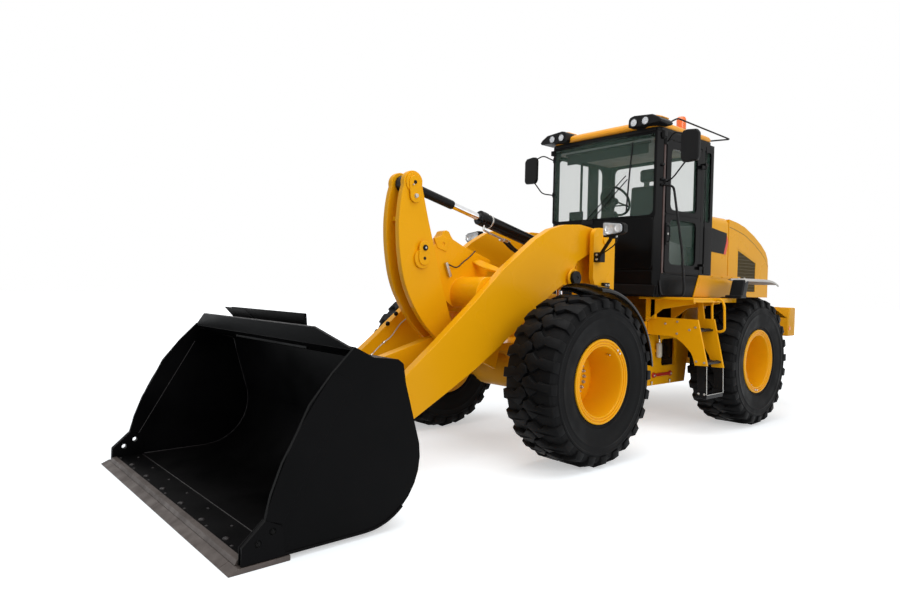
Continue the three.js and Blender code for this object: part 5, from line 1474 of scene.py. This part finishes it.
# ---------------------------------------------------------------- Cab door
# A black steel door with two panes in rounded frames, hung at its rear edge on two pins. It has a
# pull handle outside and a strap of the same black inside.
leaf = carried("cab_door_leaf", "cab_door", 0.004, 40)
at_door = lambda x, z: (x, 0.7495, z)
upper = ring_plate("upper_ring", rounded(-1.640, -0.892, 2.372, 3.160, 0.035),
                   rounded(-1.545, -0.985, 2.418, 3.078, 0.065), at_door, (0, 0.010, 0))
lower = ring_plate("lower_ring", rounded(-1.640, -0.892, 1.728, 2.362, 0.035),
                   rounded(-1.545, -0.985, 1.822, 2.312, 0.065), at_door, (0, 0.010, 0))
dress(joined("cab_door_panel", [leaf, upper, lower]), cab_black, "door", "black_paint", "cab_door")
pull = pipe("pull", [(-0.925, 0.758, 2.060), (-0.925, 0.792, 2.070), (-0.925, 0.792, 2.230),
                     (-0.925, 0.758, 2.240)],
            0.008, bend=0.02, sides=3)
latch = block("latch", (-0.955, 0.757, 2.030), (-0.900, 0.770, 2.270), 0.006)
dress(joined("door_pull_handle", [pull, latch]), black_plastic, "door", "black_plastic")
key = disc("key", 0.012, 0, 0.006, 20, 0.001)
key.data.transform(aimed((-0.928, 0.7695, 2.150), (0, 1, 0)))
dress(key, plated, "door", "rod_chrome")
key.name = "door_lock_cylinder"
inner = pipe("inner_rail", [(-1.020, 0.702, 1.990), (-1.020, 0.672, 2.000), (-1.020, 0.672, 2.330),
                            (-1.020, 0.702, 2.350)],
             0.009, black_plastic, "door", "black_plastic", 0.02, 3)


# ---------------------------------------------------------------- Cab roof
# A moulded cap in orange-yellow, gently domed, with a black pod for two work lamps at each front
# corner. A black rail runs along each side and out behind, and the beacon stands at the rear left.
def lofted(name, rings):
    """A closed skin through rings of points, each with the same count, capped at both ends."""
    obj = sheet(name, [ring + ring[:1] for ring in rings], 0)
    bpy.context.view_layer.objects.active = obj
    bpy.ops.object.mode_set(mode="EDIT")
    bpy.ops.mesh.select_all(action="SELECT")
    bpy.ops.mesh.fill_holes(sides=0)
    bpy.ops.object.mode_set(mode="OBJECT")
    return outward(obj)


roof_yellow = surface_of(
    "roof_yellow", ((0.860, 0.360, 0.012), (0.820, 0.330, 0.010)), (0.28, 0.40), scale=1.4,
    relief=(420.0, 0.04), dusting=0.03, clean=4.0, Specular_IOR_Level=0.3,
)
rear_x, front_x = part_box("cab_roof")[0].x, FRONT + 0.058
rings = []
for inset, z, dome in ((0.045, 3.2905, 0), (0.012, 3.2920, 0), (0.0, 3.3050, 0), (0.0, 3.325, 0),
                       (0.010, 3.344, 0.006),
                       (0.040, 3.360, 0.016), (0.100, 3.372, 0.030), (0.200, 3.378, 0.044),
                       (0.340, 3.382, 0.056),
                       (0.500, 3.384, 0.062)):
    ring = []
    for x, y in rounded(rear_x + inset, front_x - inset, -0.740 + inset, 0.740 - inset,
                        max(0.02, 0.130 - 0.2 * inset), 6):
        ring.append((x, y, z + dome * max(0.0, 1 - (y / 0.75) ** 2)))
    rings.append(ring)
roof = lofted("roof", rings)
smooth(roof, 40)
gutter = slab("gutter", [(x, y, 3.2502) for x, y in rounded(rear_x + 0.030, FRONT + 0.012, -0.735, 0.735,
                                                            0.070)], (0, 0, 0.042))
soften(gutter, 0.006, 2, 30)
caps = []
for side in (1, -1):
    top = [(0.455, 3.392), (0.470, 3.418), (0.510, 3.428), (0.700, 3.412), (0.770, 3.388), (0.760, 3.372),
           (0.465, 3.376)]
    caps.append(soften(slab("cap", across(-0.900, top, side), (0.150, 0, 0)), 0.008, 3, 30))
dress(joined("cab_roof_cap", [roof, *caps]), roof_yellow, "chassis", "roof_yellow", "cab_roof")
pods, bowls, lenses = [gutter], [], []
POD_X = -0.636
for side in (1, -1):
    face = [(0.425, 3.296), (0.432, 3.380), (0.452, 3.404), (0.500, 3.415), (0.720, 3.396), (0.800, 3.352),
            (0.832, 3.318), (0.815, 3.298), (0.480, 3.288)]
    pod = slab("pod", across(-0.880, face, side), (POD_X + 0.880, 0, 0))
    pods.append(soften(pod, 0.012, 3, 30))
    for y in (0.500, 0.640):
        place = (POD_X - 0.002, side * y, 3.338)
        ring = [(0.038, -0.010), (0.048, -0.006), (0.048, 0.006), (0.042, 0.010), (0.038, 0.006)]
        pods.append(turned("ring", ring, place, (1, 0, 0), 36))
        bowl = [(0.039, 0.004), (0.034, 0.0032), (0.016, 0.0026), (0.0, 0.0024), (0.0, -0.004),
                (0.039, -0.004)]
        bowls.append(turned("bowl", bowl, place, (1, 0, 0), 32, 50))
        cover = [(0.039, 0.0046), (0.030, 0.008), (0.015, 0.0102), (0.0, 0.0108), (0.0, 0.0092),
                 (0.039, 0.0036)]
        lenses.append(turned("cover", cover, place, (1, 0, 0), 32, 50))
    pods.append(block("bracket", (-0.850, side * 0.745, 3.180), (-0.790, side * 0.785, 3.240), 0.006))
    rail = [(-0.960, side * 0.700, 3.350), (-1.110, side * 0.742, 3.432), (-2.168, side * 0.820, 3.364),
            (-1.885, side * 0.728, 3.312)]
    pods.append(pipe("rail", rail, 0.009, bend=0.04, sides=3))
dress(joined("roof_lamp_pods", pods), black_plastic, "chassis", "black_plastic")
dress(joined("roof_lamp_bowls", bowls), bowl_metal, "chassis", "rod_chrome")
dress(joined("roof_lamp_lenses", lenses), lens_clear, "chassis", "lamp_lens")

amber = surface_of(
    "beacon_amber", ((0.900, 0.170, 0.006), (0.840, 0.140, 0.004)), (0.08, 0.16), scale=30.0,
    relief=(120.0, 0.5), Coat_Weight=0.4, Coat_Roughness=0.05,
)
low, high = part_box("beacon")
mid = (low + high) / 2
foot = Vector((mid.x, mid.y, low.z))
base = [(0.0, 0.0), (0.060, 0.0), (0.060, 0.018), (0.046, 0.026), (0.030, 0.060), (0.030, 0.085),
        (0.056, 0.095), (0.060, 0.116), (0.0, 0.116)]
dress(turned("base", base, foot, (0, 0, 1), 40), black_plastic, "chassis", "black_plastic")
bpy.context.object.name = "beacon_stem"
tall = high.z - low.z
dome = [(0.0, 0.117)]
for i in range(9):
    z = 0.118 + (tall - 0.165) * i / 8
    dome += [(0.0580, z), (0.0550, z + 0.006)]
dome += [(0.054, tall - 0.030), (0.046, tall - 0.010), (0.024, tall - 0.002), (0.0, tall - 0.001)]
lamp = turned("lamp", dome, foot, (0, 0, 1), 40, 50)
dress(lamp, amber, "chassis", "beacon_amber", "beacon")
lamp.name = "beacon_dome"


# ---------------------------------------------------------------- Mirrors
# A mirror head of black plastic on each side, held away from the cab by two bent black tubes. Its
# glass faces to the rear.
mirror_glass = metal("mirror_glass", (0.80, 0.82, 0.83), (0.02, 0.05), relief=(900.0, 0.01))
for side, word in SIDES:
    head = [(0.990, 2.905), (1.012, 2.868), (1.060, 2.861), (1.170, 2.866), (1.189, 2.900), (1.189, 3.150),
            (1.160, 3.188),
            (1.060, 3.199), (1.010, 3.192), (0.988, 3.150)]
    cap = soften(slab("cap", across(-0.802, head, side), (0.050, 0, 0)), 0.014, 4, 30)
    arms = []
    for z0, z1, end in ((3.130, 3.200, 3.150), (2.700, 2.720, 2.900)):
        route = [(-0.855, side * 0.752, z0), (-0.855, side * 0.785, z0), (-0.778, side * 0.900, z1),
                 (-0.778, side * 1.060, end)]
        arms.append(pipe("arm", route, 0.008, bend=0.05, sides=3))
        arms.append(block("root", (-0.867, side * 0.7505, z0 - 0.030), (-0.830, side * 0.785, z0 + 0.030),
                          0.006))
    dress(joined(word + "_mirror_head", [cap, *arms]), black_plastic, "chassis", "black_plastic",
          word + "_mirror")
    pane = [(1.004, 2.905), (1.020, 2.880), (1.165, 2.882), (1.176, 2.905), (1.176, 3.145), (1.150, 3.172),
            (1.020, 3.178), (1.002, 3.150)]
    face = soften(slab("face", across(-0.8045, pane, side), (0.004, 0, 0)), 0.001, 1, 30)
    dress(face, mirror_glass, "chassis", "rod_chrome")
    face.name = word + "_mirror_glass"


# ---------------------------------------------------------------- Inside the cab
# A sprung seat with padded cushions, the steering column with its wheel, side consoles with their
# levers, a small screen, and a pale headliner with a sun blind.
trim_grey = surface_of(
    "trim_grey", ((0.110, 0.110, 0.108), (0.140, 0.140, 0.136)), (0.5, 0.65), scale=6.0,
    relief=(900.0, 0.20), dusting=0.05, clean=4.0,
)
liner = surface_of(
    "headliner", ((0.34, 0.34, 0.33), (0.30, 0.30, 0.29)), (0.8, 0.95), scale=8.0, relief=(1400.0, 0.35),
)
seat_cloth = surface_of(
    "seat_cloth", ((0.030, 0.031, 0.034), (0.046, 0.047, 0.051)), (0.80, 0.95), scale=9.0,
    relief=(1100.0, 0.55), Sheen_Weight=0.25, Sheen_Roughness=0.4,
)


def cushion(name, low, high, lean=0.0, puff=0.012, inset=0.010):
    """A padded cushion: a rounded box that swells as cloth under pressure, held near its own shape."""
    low, high = Vector(low) + Vector((inset,) * 3), Vector(high) - Vector((inset,) * 3)
    obj = block(name, low, high, 0.030)
    deselect()
    obj.select_set(True)
    bpy.context.view_layer.objects.active = obj
    net = obj.modifiers.new("net", "REMESH")
    net.mode = "VOXEL"
    net.voxel_size = 0.012
    bpy.ops.object.modifier_apply(modifier="net")
    middle = (low + high) / 2
    for vertex in obj.data.vertices:
        vertex.co.x += lean * (vertex.co.z - middle.z)
    before = [vertex.co.copy() for vertex in obj.data.vertices]
    cloth = obj.modifiers.new("cloth", "CLOTH")
    cloth.settings.use_pressure = True
    cloth.settings.uniform_pressure_force = 4
    cloth.settings.effector_weights.gravity = 0
    cloth.settings.quality = 4
    for step in range(1, 21):
        bpy.context.scene.frame_set(step)
    bpy.ops.object.modifier_apply(modifier="cloth")
    bpy.context.scene.frame_set(1)
    for vertex, start in zip(obj.data.vertices, before):
        moved = vertex.co - start
        if moved.length > puff:
            vertex.co = start + moved * (puff / moved.length)
    surface = obj.modifiers.new("surface", "SUBSURF")
    surface.levels = surface.render_levels = 1
    bpy.ops.object.modifier_apply(modifier="surface")
    smooth(obj, 80)
    dress(obj, seat_cloth, "chassis", "seat_cloth")
    return obj


low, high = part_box("seat")
base = cushion("seat_cushion", (-1.680, -0.245, 1.985), (-1.228, 0.245, 2.095))
back = cushion("seat_back", (-1.760, -0.235, 2.065), (-1.640, 0.235, 2.860), lean=-0.09)
head = cushion("seat_headrest", (-1.805, -0.128, 2.882), (-1.705, 0.128, 3.062))
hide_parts("seat")
seams = []
for y in (-0.120, 0.120):
    seams.append(pipe("piping", [(-1.235, y, 2.091), (-1.480, y, 2.100), (-1.660, y, 2.098)], 0.004,
                      bend=0.05, sides=1))
dress(joined("seat_piping", seams), seat_cloth, "chassis", "seat_cloth")
frame_parts = [
    block("pan", (-1.670, -0.235, 1.952), (-1.240, 0.235, 1.992), 0.012),
    block("back_shell", (-1.775, -0.215, 2.070), (-1.742, 0.215, 2.420), 0.012),
    block("slides", (-1.600, -0.200, 1.920), (-1.300, 0.200, 1.954), 0.006),
    block("foot", (-1.620, -0.210, 1.506), (-1.290, 0.210, 1.560), 0.010),
]
for i in range(5):
    z = 1.575 + 0.070 * i
    fold = rounded(-1.590, -1.320, -0.180, 0.180, 0.050)
    frame_parts.append(soften(slab("bellows", [(x, y, z) for x, y in fold], (0, 0, 0.054)), 0.014, 2, 30))
for side in (1, -1):
    frame_parts.append(block("armrest", (-1.620, side * 0.262, 2.230), (-1.330, side * 0.330, 2.265), 0.014))
    frame_parts.append(block("arm_post", (-1.640, side * 0.240, 2.040), (-1.600, side * 0.300, 2.260),
                             0.008))
dress(joined("seat_frame", frame_parts), black_plastic, "chassis", "black_plastic")

HUB = Vector((-1.050, 0, 2.580))
column = [
    soften(side_slab("tower", [
        (-0.985, 1.506), (-0.900, 1.506), (-0.888, 2.360), (-0.930, 2.450), (-0.990, 2.410)], -0.100, 0.100),
        0.016, 3, 30),
    pipe("shaft", [(-0.935, 0, 2.380), HUB], 0.024, bend=0.02, sides=4),
    block("lever", (-1.000, 0.010, 2.505), (-0.985, 0.210, 2.520), 0.004),
]
dress(joined("steering_column", column), black_plastic, "chassis", "black_plastic", "steering_console")
grip = [(0.185 + 0.014 * math.cos(math.radians(a)), 0.014 * math.sin(math.radians(a))) for a in range(0, 360,
    36)]
axis = Vector((-math.sin(0.99), 0, math.cos(0.99)))
wheel = [turned("grip", grip, HUB, axis, 48, 60),
         turned("boss", [(0.0, -0.030), (0.040, -0.026), (0.046, 0.0), (0.036, 0.012), (0.0, 0.014)], HUB,
                axis, 28, 40)]
place = aimed(HUB, axis)
for turn in (90, 210, 330):
    tip = place @ Vector((0.183 * math.cos(math.radians(turn)), 0.183 * math.sin(math.radians(turn)), 0.0))
    wheel.append(pipe("spoke", [HUB, tip], 0.010, bend=0.02, sides=3))
dress(joined("steering_wheel", wheel), black_plastic, "chassis", "black_plastic")

consoles = []
for side in (1, -1):
    plan = [(-1.720, 1.506), (-1.180, 1.506), (-1.180, 1.800), (-1.240, 2.060), (-1.330, 2.110),
            (-1.720, 2.060)]
    consoles.append(soften(side_slab("console", plan, side * 0.360, side * 0.560), 0.020, 3, 30))
consoles.append(block("dash", (-0.880, -0.600, 1.510), (-0.845, 0.600, 1.980), 0.012))
consoles.append(block("rear_shelf", (-1.865, -0.640, 2.060), (-1.790, 0.640, 2.320), 0.012))
dress(joined("cab_consoles", consoles), trim_grey, "chassis", "grey_plastic")
levers = []
for x in (-1.260, -1.310, -1.360):
    levers.append(pipe("stalk", [(x, -0.460, 2.070), (x + 0.020, -0.460, 2.200)], 0.007, bend=0.01, sides=3))
    levers.append(turned("knob", [(0, 0), (0.015, 0.004), (0.019, 0.022), (0.014, 0.040), (0, 0.044)],
                         (x + 0.020, -0.460, 2.190), (0.15, 0, 1), 20))
levers.append(block("screen", (-0.960, -0.590, 2.330), (-0.930, -0.390, 2.480), 0.010))
levers.append(pipe("screen_arm", [(-0.930, -0.490, 2.380), (-0.880, -0.560, 2.300), (-0.860, -0.660, 2.250)],
                   0.012, bend=0.05, sides=3))
dress(joined("cab_levers_and_screen", levers), black_plastic, "chassis", "black_plastic")
ceiling = block("ceiling", (-1.860, -0.680, 3.165), (-0.850, 0.680, 3.205), 0.012)
dress(ceiling, liner, "chassis", "grey_plastic")
ceiling.name = "cab_headliner"
blind = [block("blind", (-0.846, -0.560, 3.040), (-0.836, 0.560, 3.168), 0.004),
         pipe("blind_tube", [(-0.842, -0.580, 3.160), (-0.842, 0.580, 3.160)], 0.016, bend=0.02, sides=3)]
blind.append(block("visor", (-0.906, -0.580, 3.085), (-0.892, -0.400, 3.170), 0.006))
dress(joined("cab_sun_blind", blind), black_plastic, "chassis", "black_plastic")


# ---------------------------------------------------------------- Engine cowl and hood
# Pressed sheet covers over the engine, sprayed yellow. The cowl is fixed behind the cab, and the
# hood falls to the rear with a grille in each side and a black panel with a red stripe ahead of it.
HOOD_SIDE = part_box("engine_hood")[1].y
stripe_red = surface_of(
    "stripe_red", ((0.780, 0.075, 0.020), (0.740, 0.060, 0.016)), (0.30, 0.42), scale=6.0,
    relief=(420.0, 0.04),
)
stripe_black = surface_of(
    "stripe_black", ((0.0038, 0.0036, 0.0036), (0.0054, 0.0050, 0.0050)), (0.28, 0.38), scale=5.0,
    relief=(420.0, 0.04), Specular_IOR_Level=0.08,
)
mesh_dark = surface_of(
    "grille_dark", ((0.050, 0.034, 0.006), (0.070, 0.046, 0.008)), (0.55, 0.75), scale=60.0,
    relief=(900.0, 0.9),
)
cowl = carried("engine_cowl_sheet", "engine_cowl", 0.018, 20)
dress(cowl, yellow, "chassis", "yellow_paint", "engine_cowl")
hood_shell = carried("engine_hood_sheet", "engine_hood", 0.045, 40)
dress(hood_shell, yellow, "hood", "yellow_paint", "engine_hood")

for side, word in SIDES:
    face = side * HOOD_SIDE
    panel = [(-1.998, 2.305), (-2.404, 2.262), (-2.395, 2.160), (-2.333, 2.000), (-1.998, 2.018)]
    plate = soften(side_slab("panel", panel, face - side * 0.001, face + side * 0.005), 0.002, 1, 30)
    dress(plate, stripe_black, "chassis", "black_paint")
    plate.name = word + "_cowl_black_panel"
    red = [(-2.408, 2.232), (-2.448, 2.150), (-2.388, 1.998), (-2.336, 2.000), (-2.404, 2.180)]
    mark = soften(side_slab("stripe", red, face - side * 0.001, face + side * 0.0055), 0.001, 1, 30)
    dress(mark, stripe_red, "chassis", "black_paint")
    mark.name = word + "_cowl_red_stripe"
    # the grille: a dark mesh behind upright slats, in a frame that follows the hood's fall
    mesh_face = [(-2.722, 1.545), (-2.722, 2.072), (-3.228, 1.930), (-3.228, 1.545)]
    mesh = side_slab("mesh", mesh_face, face - side * 0.0105, face - side * 0.0075)
    dress(mesh, mesh_dark, "hood", "black_paint")
    mesh.name = word + "_grille_mesh"
    slats = []
    for i in range(24):
        x = -2.736 - 0.021 * i
        top = 2.072 + (x + 2.722) * (0.142 / 0.506)
        slats.append(block("slat", (x - 0.004, face - side * 0.008, 1.548),
                           (x + 0.004, face - side * 0.003, top - 0.004), 0))
    for i in range(12):
        z = 1.575 + 0.042 * i
        end = -3.226 if z < 1.925 else -2.722 - (2.072 - z) * (0.506 / 0.142)
        slats.append(block("bar", (-2.724, face - side * 0.0072, z - 0.004),
                           (max(end, -3.226), face - side * 0.0035, z + 0.004), 0))
    dress(joined(word + "_grille_slats", slats), mesh_dark, "hood", "black_paint")
    outer = [(-2.700, 1.520), (-2.700, 2.092), (-3.250, 1.945), (-3.250, 1.520)]
    inner = [(-2.722, 1.545), (-2.722, 2.066), (-3.228, 1.924), (-3.228, 1.545)]
    at_side = lambda x, z: (x, face - side * 0.012, z)
    surround = ring_plate("surround", outer, inner, at_side, (0, side * 0.0135, 0))
    filler = side_slab("filler", [(-2.700, 2.090), (-2.700, 2.085), (-3.250, 1.940), (-3.250, 2.085)],
                       face - side * 0.012, face + side * 0.0015)
    dress(joined(word + "_grille_surround", [surround, filler]), yellow, "hood", "yellow_paint")

# the seam under the hood's top, which follows its fall
for side, word in SIDES:
    top = [(-2.470, 2.350), (-2.695, 2.315), (-2.895, 2.275), (-3.165, 2.180), (-3.385, 2.075),
           (-3.525, 1.985), (-3.600, 1.890)]
    line = [(x, z) for x, z in top] + [(x, z - 0.007) for x, z in reversed(top)]
    groove = side_slab("groove", line, side * (HOOD_SIDE - 0.003), side * (HOOD_SIDE + 0.0006))
    dress(groove, mesh_dark, "hood", "black_paint")
    groove.name = word + "_hood_top_seam"

# the exhaust stack: a silencer body with its bands, and a tail pipe on top
iron = surface_of(
    "exhaust_iron", ((0.040, 0.038, 0.037), (0.022, 0.020, 0.019)), (0.45, 0.65), scale=14.0,
    relief=(260.0, 0.4), Metallic=0.5,
)
low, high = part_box("exhaust_stack")
foot = Vector(((low.x + high.x) / 2, (low.y + high.y) / 2, low.z))
stack = [
    (0.0, 0.0), (0.059, 0.0), (0.059, 0.020), (0.052, 0.028), (0.052, 0.060), (0.0585, 0.066),
    (0.0585, 0.090),
    (0.052, 0.096), (0.052, 0.290), (0.0585, 0.296), (0.0585, 0.320), (0.050, 0.330), (0.036, 0.352),
    (0.036, 0.530), (0.0385, 0.534), (0.0330, 0.534), (0.0330, 0.400), (0.0, 0.400),
]
dress(turned("stack", stack, foot, (0, 0, 1), 40), iron, "chassis", "engine_iron", "exhaust_stack")
bpy.context.object.name = "exhaust_silencer"

# the engine: block, head with its covers, and fan ring, on its mounts
engine = carried("engine_casting", "engine_block", 0.012, 35)
dress(engine, iron, "chassis", "engine_iron", "engine_block")
extras = []
for i in range(6):
    x = -3.160 + 0.088 * i
    extras.append(block("cover", (x, -0.150, 1.895), (x + 0.070, 0.150, 1.940), 0.010))
FAN = (-3.440, 0, 1.560)
ring = [(0.300, 0), (0.330, 0), (0.330, 0.060), (0.300, 0.060)]
extras.append(turned("fan_ring", ring, FAN, (1, 0, 0), 48))
extras.append(turned("fan_hub", [(0, 0), (0.070, 0), (0.070, 0.080), (0, 0.080)], FAN, (1, 0, 0), 32))
for i in range(7):
    turn = 360 / 7 * i
    vane = block("vane", (-3.420, -0.040, 1.620), (-3.412, 0.040, 1.855), 0.002)
    vane.data.transform(about((-3.416, 0, 1.560), "X", turn))
    extras.append(vane)
dress(joined("engine_covers_and_fan", extras), iron, "chassis", "engine_iron")


# ---------------------------------------------------------------- Counterweight
# A thick cast block across the tail, yellow, with an ear at each side that ends in an orange
# marker. Two tail lamps and a towing pin are set in it.
tail = carried("counterweight_casting", "counterweight", 0.016, 25)
dress(tail, cast, "chassis", "yellow_paint", "counterweight")
marker = surface_of(
    "marker_orange", ((0.900, 0.230, 0.010), (0.860, 0.200, 0.008)), (0.15, 0.25), scale=30.0,
    relief=(300.0, 0.5),
)
low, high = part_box("counterweight")
marks, lamps, sockets = [], [], []
for side in (1, -1):
    marks.append(block("mark", (-3.775, side * 0.947, 1.040), (-3.725, side * 0.957, 1.090), 0.004))
    lamps.append(block("lamp", (low.x + 0.0005, side * 0.460, 1.150), (low.x + 0.030, side * 0.640, 1.230),
                       0.008))
    sockets.append(block("socket", (low.x + 0.002, side * 0.448, 1.138),
                         (low.x + 0.020, side * 0.652, 1.242), 0.006))
dress(joined("side_markers", marks), marker, "chassis", "beacon_amber")
lamp_red = surface_of(
    "tail_lamp_red", ((0.520, 0.014, 0.010), (0.460, 0.010, 0.008)), (0.08, 0.16), scale=30.0,
    relief=(160.0, 0.6),
)
dress(joined("tail_lamps", lamps), lamp_red, "chassis", "lamp_lens")
dress(joined("tail_lamp_bezels", sockets), black_plastic, "chassis", "black_plastic")
pin = turned("pin", [(0, 0), (0.022, 0), (0.022, 0.180), (0.036, 0.180), (0.036, 0.200), (0, 0.206)],
             (low.x + 0.060, 0, 1.150), (0, 0, 1), 28)
dress(pin, plated, "chassis", "rod_chrome")
pin.name = "towing_pin"


# ---------------------------------------------------------------- Sizes
# The box of the fixed frame and the box of the finished model, for comparison.
size = {"cad": [list(corner) for corner in cad_box], "visual": [list(corner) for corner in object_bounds()]}
